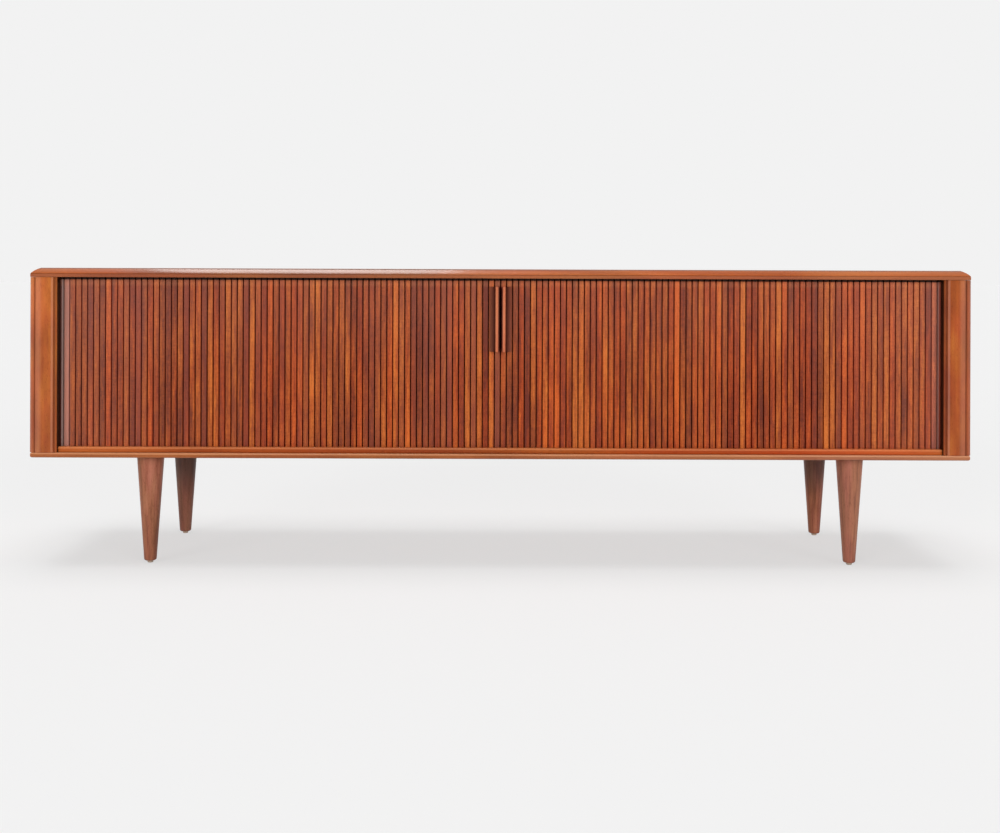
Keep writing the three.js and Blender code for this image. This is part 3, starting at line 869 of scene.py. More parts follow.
class Part:
    """One mesh on the bench, shaped with edit mode operators and applied modifiers."""

    def __init__(self, obj: bpy.types.Object) -> None:
        """Takes over an object."""
        self.obj = obj

    @staticmethod
    def clear_selection() -> None:
        """Leaves nothing selected and edit mode closed."""
        if bpy.context.object and bpy.context.object.mode != "OBJECT":
            bpy.ops.object.mode_set(mode="OBJECT")
        bpy.ops.object.select_all(action="DESELECT")

    @classmethod
    def start(cls, add: Callable[..., Any], name: str, **settings: Any) -> "Part":
        """Adds a primitive as a start, and settles its place into its mesh.

        Args:
            add: the operator that adds it.
            name: the piece's name.
            settings: the operator's settings.

        Returns:
            The new part.
        """
        cls.clear_selection()
        add(**settings)
        made = bpy.context.object
        made.name = name
        made.data.name = name
        bpy.ops.object.transform_apply(location=True, rotation=True, scale=True)
        return cls(made)

    @classmethod
    def block(cls, name: str, low: Vector, high: Vector) -> "Part":
        """A block between two corners, as a start."""
        add, middle = bpy.ops.mesh.primitive_cube_add, (low + high) / 2
        return cls.start(add, name, size=1.0, location=middle, scale=high - low)

    @classmethod
    def drum(cls, name: str, middle: Vector, radius: float, depth: float) -> "Part":
        """A round bar that points from front to back, as a start."""
        add, bar = bpy.ops.mesh.primitive_cylinder_add, {"vertices": 32, "radius": radius, "depth": depth}
        return cls.start(add, name, location=middle, rotation=(math.pi / 2, 0, 0), **bar)

    @classmethod
    def taper(cls, name: str, foot: Vector, height: float, radii: Pair, sides: int) -> "Part":
        """Stands up a round bar that tapers, as a start.

        Args:
            name: the piece's name.
            foot: the middle of its lower end.
            height: how high it stands.
            radii: the radius at its lower and upper end.
            sides: how many sides it has.

        Returns:
            The new part.
        """
        bar = {"vertices": sides, "radius1": radii[0], "radius2": radii[1], "depth": height}
        middle = foot + Vector((0, 0, height / 2))
        return cls.start(bpy.ops.mesh.primitive_cone_add, name, location=middle, **bar)

    @classmethod
    def copy_of_node(cls, node: str, name: str) -> "Part":
        """A merged copy of a node's solid, with its flat faces made whole again.

        Args:
            node: the node to copy.
            name: the copy's name.

        Returns:
            The new part.
        """
        cls.clear_selection()
        made = bpy.data.objects.new(name, frame["nodes"][node].data.copy())
        made.data.name = name
        made.data.materials.clear()
        bpy.context.scene.collection.objects.link(made)
        bpy.context.view_layer.objects.active = made
        made.select_set(True)
        part = cls(made)
        with part.editing():
            bpy.ops.mesh.select_all(action="SELECT")
            bpy.ops.mesh.remove_doubles(threshold=0.01 * MM)
            bpy.ops.mesh.dissolve_limited(angle_limit=math.radians(0.4))
        return part

    def copy(self, name: str) -> "Part":
        """Copies the part, with a mesh of its own.

        Args:
            name: the copy's name.

        Returns:
            The copy.
        """
        made = self.obj.copy()
        made.data = self.obj.data.copy()
        made.name = name
        made.data.name = name
        bpy.context.scene.collection.objects.link(made)
        return Part(made)

    def activate(self) -> None:
        """Makes this the one selected and active object."""
        self.clear_selection()
        bpy.context.view_layer.objects.active = self.obj
        self.obj.select_set(True)

    @contextmanager
    def editing(self) -> Iterator[None]:
        """Opens edit mode on this part alone, with nothing selected at the start.

        Returns:
            A context that closes edit mode at its end.
        """
        self.activate()
        bpy.ops.object.mode_set(mode="EDIT")
        bpy.ops.mesh.select_all(action="DESELECT")
        yield
        bpy.ops.object.mode_set(mode="OBJECT")

    def pick(self, kind: str, test: Callable[[Any], bool]) -> int:
        """Selects elements in edit mode.

        Args:
            kind: VERT, EDGE or FACE.
            test: says of an element whether it is wanted.

        Returns:
            How many were selected.
        """
        bpy.ops.mesh.select_all(action="DESELECT")
        bpy.context.tool_settings.mesh_select_mode = tuple(kind == k for k in ("VERT", "EDGE", "FACE"))
        shape = bmesh.from_edit_mesh(self.obj.data)
        elements = {"VERT": shape.verts, "EDGE": shape.edges, "FACE": shape.faces}[kind]
        chosen = [element for element in elements if test(element)]
        for element in chosen:
            element.select_set(True)
        bmesh.update_edit_mesh(self.obj.data)
        return len(chosen)

    def slice_across(self, axis: int, places: list[float]) -> None:
        """Adds a loop of edges all round at each place along an axis, in edit mode.

        Args:
            axis: 0, 1 or 2, for X, Y or Z.
            places: where the loops go.
        """
        normal = Vector(tuple(float(k == axis) for k in range(3)))
        for place in places:
            bpy.ops.mesh.select_all(action="SELECT")
            bpy.ops.mesh.bisect(plane_co=normal * place, plane_no=normal)

    def shift(self, test: Callable[[Any], bool], by: Vector) -> None:
        """Moves the points that pass a test, in edit mode."""
        if self.pick("VERT", test):
            bpy.ops.transform.translate(value=by)

    def bevel_edges(self, test: Callable[[Any], bool], width: float, segments: int) -> None:
        """Rounds the edges that pass a test, in edit mode."""
        if self.pick("EDGE", test):
            bpy.ops.mesh.bevel(offset=width, segments=segments, affect="EDGES", clamp_overlap=True)

    def modify(self, kind: str, **settings: Any) -> "Part":
        """Adds a modifier and applies it.

        Args:
            kind: the modifier's type.
            settings: its settings.

        Returns:
            This part.
        """
        self.activate()
        modifier = self.obj.modifiers.new(kind.lower(), kind)
        for key, value in settings.items():
            setattr(modifier, key, value)
        bpy.ops.object.modifier_apply(modifier=modifier.name)
        return self

    def soften(self, width: float) -> "Part":
        """Eases every sharp edge by a small round."""
        sharp = {"limit_method": "ANGLE", "angle_limit": math.radians(38)}
        return self.modify("BEVEL", width=width, segments=2, harden_normals=False, **sharp)

    def smooth(self, angle: float = 32.0) -> "Part":
        """Shades round stretches smooth and keeps arrises crisp.

        Args:
            angle: how many degrees a crisp edge turns at least.

        Returns:
            This part.
        """
        self.activate()
        bpy.ops.object.shade_smooth_by_angle(angle=math.radians(angle))
        return self

    def cut_with(self, cutter: "Part") -> "Part":
        """Cuts another part out of this one, and takes the cutter off the bench.

        Args:
            cutter: the part to cut with.

        Returns:
            This part.
        """
        self.modify("BOOLEAN", operation="DIFFERENCE", object=cutter.obj, solver="EXACT")
        bpy.data.objects.remove(cutter.obj)
        return self

    def joined(self, others: list["Part"]) -> "Part":
        """Joins other parts into this one.

        Args:
            others: the parts, which are gone afterwards.

        Returns:
            This part.
        """
        self.activate()
        for other in others:
            other.obj.select_set(True)
        bpy.ops.object.join()
        return self

    def carry(self, name: str, values: np.ndarray | float) -> None:
        """Stores a number on every point, for the finish to read.

        Args:
            name: the attribute's name.
            values: one number for each point, or one for all.
        """
        data = self.obj.data
        attribute = data.attributes.get(name) or data.attributes.new(name, "FLOAT", "POINT")
        attribute.data.foreach_set("value", np.full(len(data.vertices), values, np.float32))

    def places(self, axis: int) -> np.ndarray:
        """Where every point is along axis 0, 1 or 2."""
        return np.array([vertex.co[axis] for vertex in self.obj.data.vertices])

    def turn(self, angle: float, about: Vector) -> None:
        """Turns the mesh about the vertical through a point."""
        place = Matrix.Translation(about)
        self.obj.data.transform(place @ Matrix.Rotation(angle, 4, "Z") @ place.inverted())

    def move(self, by: Vector) -> None:
        """Moves the mesh, leaving the object at the origin."""
        self.obj.data.transform(Matrix.Translation(by))

    def dress(self, material: bpy.types.Material) -> "Part":
        """Gives every face one finish.

        Args:
            material: the finish.

        Returns:
            This part.
        """
        self.obj.data.materials.clear()
        self.obj.data.materials.append(material)
        return self

    def place(self, body: str, slot: str, nodes: tuple[str, ...] = ()) -> None:
        """Fixes the part to a body and hides the nodes it stands for.

        Args:
            body: the body that it rides on.
            slot: the record's slot for it; not used.
            nodes: the nodes that it stands for.
        """
        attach(self.obj, body)
        if nodes:
            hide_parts(*nodes)
        log.info("%s rides on %s", self.obj.name, body)


@dataclass
class Case:
    """The boards of the case: eased copies of the solids, each with its own stretch of wood."""

    palette: Palette
    ease: float = 0.5 * MM

    def build(self) -> None:
        """Dresses the outer boards, then the inner ones."""
        outer = {"top_panel": "teak_top", "bottom_panel": "teak_bottom", "front_rail": "teak_rail"}
        for side in Side:
            outer[f"{side.word}_front_post"] = f"teak_post_{side.word}"
            outer[f"{side.word}_side_panel"] = f"teak_side_{side.word}"
        inner = {"back_panel": "teak_back"}
        for level in ("inner_back_panel", "left_shelf", "centre_shelf", "right_shelf"):
            inner[level] = "teak_inner_along"
        for side in Side:
            for upright in ("lining_panel", "divider", "door_stop"):
                inner[f"{side.word}_{upright}"] = "teak_inner_up"
        for slot, boards in (("case_wood", outer), ("inner_wood", inner)):
            for node, finish in boards.items():
                self.board(node, self.palette[finish], slot)

    def board(self, node: str, finish: bpy.types.Material, slot: str) -> None:
        """Stands an eased copy in for one board's node."""
        part = Part.copy_of_node(node, f"{node}_board")
        part.soften(self.ease).smooth().dress(finish).place(BODY_CASE, slot, (node,))


@dataclass
class SlatTones:
    """How the slats of one door differ, drawn once from a fixed seed."""

    count: int
    seed: int
    level: float
    coolness: float
    spread: float = 0.11
    limits: Pair = (0.14, 0.9)
    cool_shape: Pair = (0.9, 3.2)
    pale_from: float = 0.6
    pale_cool: float = 0.3
    shifts: float = 20.0
    values: dict[str, np.ndarray] = field(init=False)

    def __post_init__(self) -> None:
        """Draws a tone, a hue, a coolness and a pattern shift for each slat."""
        draw = np.random.default_rng(self.seed)
        tone = np.clip(draw.normal(self.level, self.spread, self.count), *self.limits)
        cool = draw.beta(*self.cool_shape, self.count) * self.coolness
        self.values = {
            "slat_tone": tone,
            "slat_cool": np.where(tone > self.pale_from, cool * self.pale_cool, cool),
            "slat_hue": draw.uniform(0.0, 1.0, self.count),
            "slat_seed": draw.uniform(0.0, self.shifts, self.count),
        }


@dataclass
class TambourDoor:
    """One tambour door: slats on canvas, with the meeting slat, the handle and its screws."""

    side: Side
    palette: Palette
    pitch: float = 13.46 * MM
    in_front: int = 73
    lead: int = 4
    tail: int = 6
    turn_radius: float = 33.0 * MM
    depth: float = 10.0 * MM
    canvas: float = 1.2 * MM
    canvas_hem: float = 2.0 * MM
    face_half: float = 5.3 * MM
    back_half: float = 6.2 * MM
    face_round: float = 1.3 * MM
    split: float = 0.2 * MM
    head_clearance: float = 0.3 * MM
    head_sink: float = 3.2 * MM
    bore_shade: float = 0.3
    tail_shade: float = 0.2
    grip_shade: float = 0.58
    grip_edge: float = 1.0 * MM
    corner_shade: Pair = (0.3, 0.1)
    # The right door's slats are drawn a little lighter and the left door's a little cooler: painted light
    # and painted sheen that differ from side to side.
    tone_level: Pair = (0.48, 0.03)
    coolness: Pair = (0.7, -0.25)
    seed: int = 7

    def __post_init__(self) -> None:
        """Reads where the canvas and the track lie from the frame."""
        low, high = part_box(f"{self.side.word}_meeting_slat")
        self.low_z, self.high_z = low.z, high.z
        self.back_y = high.y
        self.turn_x = self.in_front * self.pitch
        self.turn_y = self.back_y + self.turn_radius
        count = self.in_front + self.tail
        level, coolness = self.by_side(self.tone_level), self.by_side(self.coolness)
        self.tones = SlatTones(count, self.seed + self.side.value, level, coolness)

    def by_side(self, pair: Pair) -> float:
        """This side's value, from the mean of both and the step from it to the right side's."""
        return pair[0] + pair[1] * self.side.value

    def build(self) -> None:
        """Makes the slats and the canvas, and bores the meeting slat for the handle's screws."""
        pattern = self.pattern_slat()
        body = self.side.door
        word = self.side.word
        meeting = self.run(pattern, 0, 0)
        self.darken_behind_grip(meeting)
        self.sink_screws(meeting)
        wood = self.palette["teak_slats"]
        meeting.dress(wood).place(body, "slat_wood", (f"{word}_meeting_slat",))
        meeting.obj.name = f"{word}_meeting_slat_wood"
        lead = self.run(pattern, 1, self.lead).joined([self.straight_canvas(1, self.lead)])
        self.finish_strip(lead, f"{word}_lead_strip", body, f"{word}_lead_slats")
        self.curtain(pattern)
        bpy.data.objects.remove(pattern.obj)

    def pattern_slat(self) -> Part:
        """Models one slat over the origin, face towards the front.

        Returns:
            A bar that narrows towards its rounded face.
        """
        low = Vector((-self.back_half, -self.depth, self.low_z))
        high = Vector((self.back_half, -self.canvas, self.high_z))
        slat = Part.block("pattern_slat", low, high)
        with slat.editing():
            slat.pick("FACE", lambda face: face.normal.y < -FACING)
            narrow = self.face_half / self.back_half
            bpy.ops.transform.resize(value=(narrow, 1, 1), center_override=(0, -self.depth, 0))
            slat.bevel_edges(self.is_face_edge, self.face_round, segments=4)
        slat.smooth(angle=60)
        # Painted shade down each slat's flanks towards the canvas, with a faint painted highlight just
        # behind the face's rounded edge.
        below_face = [0.0, 0.4 * MM, 0.9 * MM, 1.3 * MM, self.depth - self.canvas]
        levels = [1.0, 1.03, 0.97, 0.88, 0.5]
        slat.carry("shade", np.interp(slat.places(1) + self.depth, below_face, levels))
        return slat

    def is_face_edge(self, edge: Any) -> bool:
        """Tests an edge of the pattern slat.

        Args:
            edge: the edge.

        Returns:
            Whether it runs up one side of the slat's face.
        """
        ends = [vertex.co for vertex in edge.verts]
        upright = abs(ends[0].x - ends[1].x) < NEAR and abs(ends[0].z - ends[1].z) > MM
        return upright and all(abs(end.y + self.depth) < NEAR for end in ends)

    def run(self, pattern: Part, first: int, last: int) -> Part:
        """Copies the pattern slat along the straight track.

        Args:
            pattern: the slat over the origin.
            first: the first slat's number, counted from the meeting line.
            last: the last slat's number.

        Returns:
            The slats as one part.
        """
        strip = pattern.copy(f"{self.side.word}_slats_{first}")
        sign = self.side.value
        strip.move(Vector((sign * (first + 0.5) * self.pitch, self.back_y, 0)))
        if last > first:
            strip.modify(
                "ARRAY",
                count=last - first + 1,
                use_relative_offset=False,
                use_constant_offset=True,
                constant_offset_displace=(sign * self.pitch, 0, 0),
            )
        self.mark(strip, np.floor(np.abs(strip.places(0)) / self.pitch).astype(int))
        return strip

    def mark(self, strip: Part, numbers: np.ndarray | int) -> None:
        """Stores what makes each slat different on its points."""
        for name, values in self.tones.values.items():
            strip.carry(name, values[numbers])

    def straight_canvas(self, first: int, last: int) -> Part:
        """Makes the canvas behind a straight run of slats.

        Args:
            first: the first slat's number.
            last: the last slat's number.

        Returns:
            The canvas, with its finish.
        """
        spans = (first * self.pitch + self.split, (last + 1) * self.pitch - self.split)
        ends = [self.side.value * span for span in spans]
        low = Vector((min(ends), self.back_y - self.canvas, self.low_z))
        high = Vector((max(ends), self.back_y, self.high_z))
        strip = Part.block("canvas_strip", low, high)
        with strip.editing():
            strip.slice_across(2, [self.low_z + self.canvas_hem, self.high_z - self.canvas_hem])
        return self.woven(strip)

    def turned_canvas(self) -> Part:
        """Makes the canvas round the corner by spinning its end face.

        Returns:
            The canvas, with its finish.
        """
        sign = self.side.value
        centre = Vector((sign * self.turn_x, self.turn_y, 0))
        low = Vector((centre.x - NEAR, self.back_y - self.canvas, self.low_z))
        high = Vector((centre.x + NEAR, self.back_y, self.high_z))
        bend = Part.block("canvas_bend", low, high)
        straight_end = self.tail * self.pitch - self.turn_radius * math.pi / 2
        with bend.editing():
            bend.pick("FACE", lambda face: face.normal.x * sign > FACING)
            bpy.ops.mesh.spin(steps=12, angle=-sign * math.pi / 2, center=centre, axis=(0, 0, 1))
            shape = bmesh.from_edit_mesh(bend.obj.data)
            furthest = max(vertex.co.y for vertex in shape.verts)
            bend.pick("FACE", lambda face: face.calc_center_median().y > furthest - NEAR)
            bpy.ops.mesh.extrude_region_move(TRANSFORM_OT_translate={"value": (0, straight_end, 0)})
            bpy.ops.mesh.select_all(action="SELECT")
            bpy.ops.mesh.remove_doubles(threshold=NEAR / 4)
            bpy.ops.mesh.normals_make_consistent(inside=False)
        return self.woven(bend.smooth(angle=40))

    def woven(self, strip: Part) -> Part:
        """Dresses a stretch of canvas, and gives it the attributes of the slats that it joins.

        Args:
            strip: the canvas.

        Returns:
            The canvas.
        """
        strip.carry("shade", 1.0)
        self.mark(strip, 0)
        return strip.dress(self.palette["canvas"])

    def curtain(self, pattern: Part) -> None:
        """Makes the rest of the slats in front, which stay on the case, and the tail that stays round the
        corner.

        Args:
            pattern: the slat over the origin.
        """
        word = self.side.word
        first = self.lead + 1
        front = self.run(pattern, first, self.in_front - 1)
        front.joined([self.straight_canvas(first, self.in_front - 1)])
        self.finish_strip(front, f"{word}_curtain_front", BODY_CASE, f"{word}_tambour_curtain")
        travel = self.turn_x - (self.lead + 1) * self.pitch
        joint = next(j for j in frame["joints"] if j["child"] == self.side.door)
        keep = 1 - max(joint["range_m"]) / travel
        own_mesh(front.obj)
        slats = [self.tail_slat(pattern, self.in_front + k) for k in range(self.tail)]
        tail = slats[0].joined([*slats[1:], self.turned_canvas()])
        self.finish_strip(tail, f"{word}_curtain_tail", BODY_CASE, f"{word}_tambour_curtain")

    def tail_slat(self, pattern: Part, number: int) -> Part:
        """Sets one slat on the turned stretch of the track, or beyond it.

        Args:
            pattern: the slat over the origin.
            number: the slat's number, counted from the meeting line.

        Returns:
            The slat.
        """
        sign = self.side.value
        beyond = (number + 0.5) * self.pitch - self.turn_x
        angle = min(beyond / self.turn_radius, math.pi / 2)
        after = max(beyond - self.turn_radius * math.pi / 2, 0.0)
        slat = pattern.copy(f"{self.side.word}_tail_{number}")
        slat.move(Vector((sign * self.turn_x, self.back_y, 0)))
        slat.turn(sign * angle, Vector((sign * self.turn_x, self.turn_y, 0)))
        slat.move(Vector((0, after, 0)))
        at_corner = number == self.in_front
        slat.carry("shade", self.by_side(self.corner_shade) if at_corner else self.tail_shade)
        self.mark(slat, number)
        return slat

    def finish_strip(self, strip: Part, name: str, body: str, node: str) -> None:
        """Orders the two finishes of a strip, names it and places it.

        Args:
            strip: slats joined with their canvas.
            name: the strip's name.
            body: the body that it rides on.
            node: the node that it stands for.
        """
        strip.obj.name = name
        strip.obj.data.name = name
        self.sort_finishes(strip)
        strip.place(body, "slat_wood", (node,))

    def sort_finishes(self, strip: Part) -> None:
        """Gives slats the wood and the thin strip behind them the canvas.

        Args:
            strip: slats with no finish, joined with canvas that has its own.
        """
        data = strip.obj.data
        wood, canvas = (self.palette[name] for name in ("teak_slats", "canvas"))
        had = list(data.materials)
        woven = [had[min(face.material_index, len(had) - 1)] == canvas for face in data.polygons]
        data.materials.clear()
        data.materials.append(wood)
        data.materials.append(canvas)
        data.polygons.foreach_set("material_index", [int(flag) for flag in woven])

    def darken_behind_grip(self, slat: Part) -> None:
        """Paints shade onto the meeting slat over the handle's height, for the deep gap between the two
        handles.

        Args:
            slat: the meeting slat.
        """
        low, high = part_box(f"{self.side.word}_handle")
        with slat.editing():
            slat.slice_across(2, [low.z - self.grip_edge, low.z, high.z, high.z + self.grip_edge])
        shade = np.array([item.value for item in slat.obj.data.attributes["shade"].data])
        zs = slat.places(2)
        held = (zs > low.z - NEAR) & (zs < high.z + NEAR)
        slat.carry("shade", np.where(held, shade * self.grip_shade, shade))

    def sink_screws(self, slat: Part) -> None:
        """Bores the back of the meeting slat for the heads of the handle screws.

        Args:
            slat: the meeting slat.
        """
        for number in (1, 2):
            low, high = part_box(f"{self.side.word}_handle_screw_{number}")
            middle = (low + high) / 2
            mouth = Vector((middle.x, self.back_y, middle.z))
            radius = (high.x - low.x) / 2 + self.head_clearance
            bore = Part.drum("head_bore", mouth, radius, 2 * self.head_sink)
            bore.carry("shade", self.bore_shade)
            self.mark(bore, 0)
            slat.cut_with(bore)


@dataclass
class Handle:
    """An upright fin with a scooped foot, screwed to the meeting slat."""

    side: Side
    palette: Palette
    fin_width: float = 7.7 * MM
    fin_round: float = 3.1 * MM
    foot_edge: float = 1.6 * MM
    scoop_low: float = 2.4 * MM
    scoop_end: float = 1.0 * MM
    wall_slope: float = 0.03 * MM
    end_round: float = 0.9 * MM
    fin_steps: int = 4
    scoop_steps: int = 8

    def __post_init__(self) -> None:
        """Reads from the frame where the handle stands."""
        self.low, self.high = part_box(f"{self.side.word}_handle")
        self.inner = min(abs(self.low.x), abs(self.high.x))
        self.width = self.high.x - self.low.x
        self.proud = self.high.y - self.low.y

    def build(self) -> None:
        """Shapes the handle from a block by slicing it and setting each line's height."""
        word, sign = self.side.word, self.side.value
        grip = Part.block(f"{word}_handle_grip", self.low, self.high)
        lines = self.profile()
        with grip.editing():
            grip.slice_across(0, [sign * (self.inner + u) for u, _ in lines[1:-1]])
            for u, height in lines:
                grip.shift(self.on_line(sign * (self.inner + u)), Vector((0, self.proud - height, 0)))
            grip.bevel_edges(self.on_end, self.end_round, segments=3)
        self.shade(grip)
        grip.smooth(angle=34).dress(self.palette["teak_handle"])
        grip.place(self.side.door, "handle_wood", (f"{word}_handle",))

    def shade(self, grip: Part) -> None:
        """Paints shade into the scoop and onto the side that faces the other handle.

        Args:
            grip: the handle.
        """
        from_inner = np.abs(grip.places(0)) - self.inner
        fin_widths = [0.0, 0.3, 0.7, 0.98, 1.02, 1.6, 2.4]
        levels = [0.22, 0.88, 1.0, 0.7, 0.06, 0.17, 0.32]
        grip.carry("shade", np.interp(from_inner / self.fin_width, fin_widths, levels))

    def profile(self) -> list[Pair]:
        """The section as (distance from the inner edge, height above the slats).

        Returns:
            The points from the inner edge outwards.
        """
        step = self.fin_round
        turns = [k / self.fin_steps * math.pi / 2 for k in range(self.fin_steps + 1)]
        rise = [(step - step * math.cos(a), self.proud - step + step * math.sin(a)) for a in turns]
        fall = [(self.fin_width - u, height) for u, height in reversed(rise)]
        radius = self.width - self.fin_width - self.scoop_end
        scoop = []
        for k in range(self.scoop_steps + 1):
            angle = math.pi + k / self.scoop_steps * math.pi / 2
            u = self.width - self.scoop_end + radius * math.cos(angle)
            height = self.scoop_low + radius + radius * math.sin(angle)
            scoop.append((max(u, self.fin_width + self.wall_slope), height))
        return [*rise, *fall, *scoop, (self.width, self.foot_edge)]

    def on_line(self, x: float) -> Callable[[Any], bool]:
        """A test for points on one upright line of the front face."""
        front = self.low.y
        return lambda vertex: abs(vertex.co.x - x) < NEAR / 2 and abs(vertex.co.y - front) < NEAR

    def on_end(self, edge: Any) -> bool:
        """Tests an edge of the handle.

        Args:
            edge: the edge.

        Returns:
            Whether it lies on an end face, clear of the slats.
        """
        points = [vertex.co for vertex in edge.verts]
        level = any(all(abs(p.z - end) < NEAR for p in points) for end in (self.low.z, self.high.z))
        return level and any(abs(p.y - self.high.y) > NEAR for p in points)


@dataclass
class Legs:
    """Four turned legs, each on a glide."""

    palette: Palette
    foot_ease: float = 3.8 * MM
    top_ease: float = 0.6 * MM
    foot_radius: float = 13.8 * MM
    glide_round: float = 1.8 * MM
    sides: int = 72
    glide_sides: int = 40

    def build(self) -> None:
        """Makes the legs and the glides."""
        for end in ("front", "rear"):
            for side in Side:
                self.leg(f"{end}_{side.word}_leg", self.palette[f"teak_{end}_legs"])
                self.glide(f"{end}_{side.word}_glide")

    def leg(self, node: str, finish: bpy.types.Material) -> None:
        """Makes one tapered leg where its node stands.

        Args:
            node: the leg's node.
            finish: its material.
        """
        low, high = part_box(node)
        middle = (low + high) / 2
        foot = Vector((middle.x, middle.y, low.z))
        radii = (self.foot_radius, (high.x - low.x) / 2)
        leg = Part.taper(f"{node}_turned", foot, high.z - low.z, radii, self.sides)
        with leg.editing():
            leg.bevel_edges(self.on_rim(low.z), self.foot_ease, segments=4)
            leg.bevel_edges(self.on_rim(high.z), self.top_ease, segments=2)
        leg.smooth(angle=50).dress(finish).place(BODY_CASE, "leg_wood", (node,))

    def glide(self, node: str) -> None:
        """Makes one domed glide where its node stands.

        Args:
            node: the glide's node.
        """
        low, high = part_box(node)
        leg_low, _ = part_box(node.replace("glide", "leg"))
        middle = (low + high) / 2
        foot = Vector((middle.x, middle.y, low.z))
        radii = ((high.x - low.x) / 2,) * 2
        glide = Part.taper(f"{node}_dome", foot, leg_low.z - low.z, radii, self.glide_sides)
        with glide.editing():
            glide.bevel_edges(self.on_rim(low.z), self.glide_round, segments=5)
        glide.smooth(angle=50).dress(self.palette["tan_glide"])
        glide.place(BODY_CASE, "glide_plastic", (node,))

    @staticmethod
    def on_rim(z: float) -> Callable[[Any], bool]:
        """A test for the edges of the level rim at one height."""
        return lambda edge: all(abs(vertex.co.z - z) < NEAR for vertex in edge.verts)


@dataclass
class Fasteners:
    """Shelf pins, the screws that hold the back, and the fittings that stay as their nodes."""

    palette: Palette
    head_radius: float = 3.4 * MM
    head_height: float = 1.7 * MM
    head_round: float = 1.1 * MM
    slot_half: float = 0.45 * MM
    turn_step: float = 0.83
    columns: int = 7
    margin: float = 14.0 * MM

    def build(self) -> None:
        """Dresses the nodes that keep their shape, then adds the back's screws."""
        for name, node in frame["nodes"].items():
            if "shelf_pin" in name:
                Part(node).dress(self.palette["turned_brass"])
            elif any(word in name for word in ("_screw_", "leg_plate", "leg_bolt")):
                Part(node).dress(self.palette["zinc_plated_steel"])
        self.back_screws()

    def back_screws(self) -> None:
        """Sets slotted round heads along the upper and lower edge of the back."""
        low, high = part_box("back_panel")
        pattern = self.screw_head()
        xs = np.linspace(low.x + 3 * self.margin, high.x - 3 * self.margin, self.columns)
        rows = {"lower": low.z + self.margin, "upper": high.z - self.margin}
        for row, z in rows.items():
            for number, x in enumerate(xs, start=1):
                head = pattern.copy(f"back_screw_{row}_{number}")
                head.obj.data.transform(Matrix.Rotation(number * self.turn_step, 4, "Y"))
                head.move(Vector((x, high.y, z)))
                head.dress(self.palette["turned_brass"]).place(BODY_CASE, "brass")
        bpy.data.objects.remove(pattern.obj)

    def screw_head(self) -> Part:
        """Models one slotted head over the origin, facing the back.

        Returns:
            The head.
        """
        middle = Vector((0, self.head_height / 2, 0))
        head = Part.drum("pattern_screw", middle, self.head_radius, self.head_height)
        with head.editing():
            head.bevel_edges(self.on_outer_rim, self.head_round, segments=4)
        reach = Vector((self.head_radius * 1.2, self.head_height / 2, self.slot_half))
        outer = Vector((0, self.head_height, 0))
        slot = Part.block("screw_slot", outer - reach, outer + reach)
        return head.cut_with(slot).smooth(angle=40)

    def on_outer_rim(self, edge: Any) -> bool:
        """Whether an edge is on the rim that faces away from the board."""
        return all(abs(vertex.co.y - self.head_height) < NEAR for vertex in edge.verts)


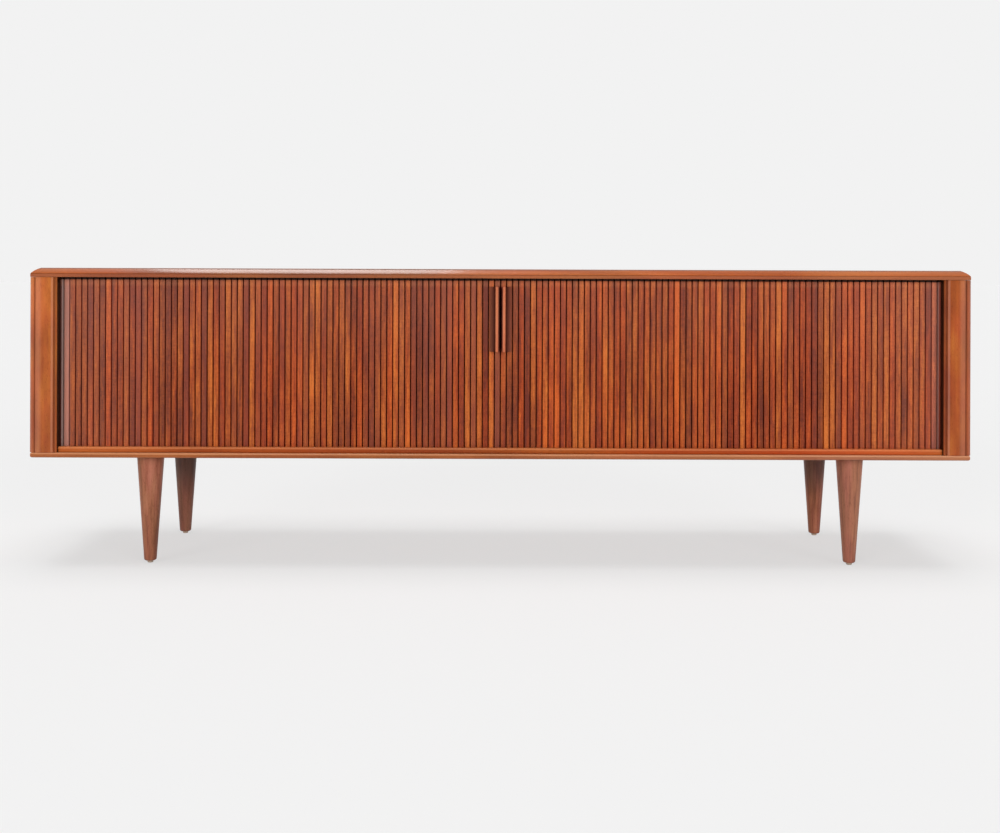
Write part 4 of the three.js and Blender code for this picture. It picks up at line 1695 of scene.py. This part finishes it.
@dataclass
class Studio:
    """Pale floor, soft light and the photograph's camera."""

    picture_width: int = 1000
    camera_height: float = 0.670
    camera_distance: float = 2.80
    focal_pixels: float = 1256.0
    horizon_above_middle: float = 146.5
    picture_moved_right: float = 0.7
    roll_degrees: float = -0.2
    sensor: float = 36.0
    backdrop: float = 0.888
    ambient: float = 0.32
    overhead: float = 0.60
    overhead_spread: float = 36
    keys: Pair = (0.375, 0.365)
    key_spread: float = 25
    key_towards: Triple = (0.52, -0.8, 0.22)
    sun_distance: float = 5.0
    strip_radiance: float = 12.0
    strip_size: Pair = (1.3, 1.5)
    strip_place: Triple = (-0.85, 0.35, 2.6)
    strip_target: Triple = (-0.85, -0.1, 0.67)
    floor_size: float = 120.0
    floor_albedo: float = 0.675
    floor_glow: float = 0.59

    def build(self) -> None:
        """Sets the camera first, then the floor, the world and the lamps."""
        self.camera()
        self.floor()
        self.world()
        self.lamps()
        bpy.context.scene.view_settings.view_transform = "Standard"

    def camera(self) -> None:
        """Stands the camera level with the top board, with the picture shifted down."""
        low, _ = CAD_BOX
        data = bpy.data.cameras.new("photo_camera")
        data.sensor_width = self.sensor
        data.lens = self.focal_pixels / self.picture_width * self.sensor
        data.shift_x = -self.picture_moved_right / self.picture_width
        data.shift_y = -self.horizon_above_middle / self.picture_width
        data.clip_end = 200.0
        camera = bpy.data.objects.new("photo_camera", data)
        camera.location = (0.0, low[1] - self.camera_distance, self.camera_height)
        camera.rotation_euler = (math.pi / 2, math.radians(self.roll_degrees), 0.0)
        bpy.context.scene.collection.objects.link(camera)
        bpy.context.scene.camera = camera

    def seen_share(self, graph: Graph) -> Signal:
        """Marks what is seen, and not what lights the object.

        Args:
            graph: the floor's or the world's graph.

        Returns:
            1 for what the camera sees, straight or in gloss or glass, and 0 for light.
        """
        seen = [
            graph.node("ShaderNodeLightPath", output=name)
            for name in ("Is Camera Ray", "Is Glossy Ray", "Is Transmission Ray")
        ]
        total = seen[0] + seen[1] + seen[2]
        return total.maths("MINIMUM", total, 1.0)

    def floor(self) -> None:
        """Lays a wide pale floor that keeps the cabinet's shadow."""
        floor = Part.start(bpy.ops.mesh.primitive_plane_add, "studio_floor", size=self.floor_size)
        graph, material = Graph.of_material("studio_floor")
        grey = (self.floor_albedo,) * 3
        matte = graph.node("ShaderNodeBsdfDiffuse", None, {"Color": (*grey, 1.0)})
        glow = graph.node("ShaderNodeEmission", None, {"Color": (1.0, 1.0, 1.0, 1.0), "Strength": 1.0})
        share = self.seen_share(graph) * self.floor_glow
        mixed = graph.node("ShaderNodeMixShader", None, [share, matte, glow])
        graph.end("ShaderNodeOutputMaterial", mixed)
        floor.dress(material)

    def world(self) -> None:
        """Lights from all round, and shows as a plain pale backdrop."""
        world = bpy.data.worlds.new("studio_world")
        world.use_nodes = True
        bpy.context.scene.world = world
        graph = Graph(world.node_tree)
        seen = self.seen_share(graph)
        strength = seen * (self.backdrop - self.ambient) + self.ambient
        white = (1.0, 1.0, 1.0, 1.0)
        glow = graph.node("ShaderNodeBackground", None, {"Color": white, "Strength": strength})
        graph.end("ShaderNodeOutputWorld", glow)

    def lamps(self) -> None:
        """Adds an overhead light, a key from each side and a strip that only shines in gloss."""
        self.soft_sun("overhead", self.overhead, self.overhead_spread, Vector((0, 0, 1)))
        aside, ahead, up = self.key_towards
        for side, level in zip(Side, self.keys):
            towards = Vector((side.value * aside, ahead, up))
            self.soft_sun(f"{side.word}_key", level, self.key_spread, towards)
        strip = bpy.data.lights.new("gloss_strip", "AREA")
        strip.shape = "RECTANGLE"
        strip.size, strip.size_y = self.strip_size
        strip.energy = self.strip_radiance * math.pi * strip.size * strip.size_y
        lamp = self.aim(strip, Vector(self.strip_place), Vector(self.strip_target))
        lamp.visible_diffuse = False

    def soft_sun(self, name: str, level: float, spread: float, towards: Vector) -> None:
        """Adds a distant soft light that gloss doesn't show.

        Args:
            name: the lamp's name.
            level: what a white surface that faces it shows, where 1 is white.
            spread: how many degrees across it looks.
            towards: the direction it is in.
        """
        sun = bpy.data.lights.new(name, "SUN")
        sun.energy = level * math.pi
        sun.angle = math.radians(spread)
        lamp = self.aim(sun, towards.normalized() * self.sun_distance, Vector((0, 0, 0)))
        lamp.visible_glossy = False

    @staticmethod
    def aim(light: bpy.types.Light, place: Vector, target: Vector) -> bpy.types.Object:
        """Stands a lamp at a place, pointing at a target.

        Args:
            light: what shines.
            place: where it stands.
            target: what it points at.

        Returns:
            The lamp.
        """
        lamp = bpy.data.objects.new(light.name, light)
        lamp.location = place
        lamp.rotation_euler = (target - place).to_track_quat("-Z", "Y").to_euler()
        bpy.context.scene.collection.objects.link(lamp)
        return lamp


def main() -> None:
    """Builds the studio and each sub-assembly in order."""
    logging.basicConfig(level=logging.INFO, format="%(message)s")
    Studio().build()
    palette = Palette()
    Case(palette).build()
    for side in Side:
        TambourDoor(side, palette).build()
        Handle(side, palette).build()
    Legs(palette).build()
    Fasteners(palette).build()


if __name__ == "__main__":
    main()
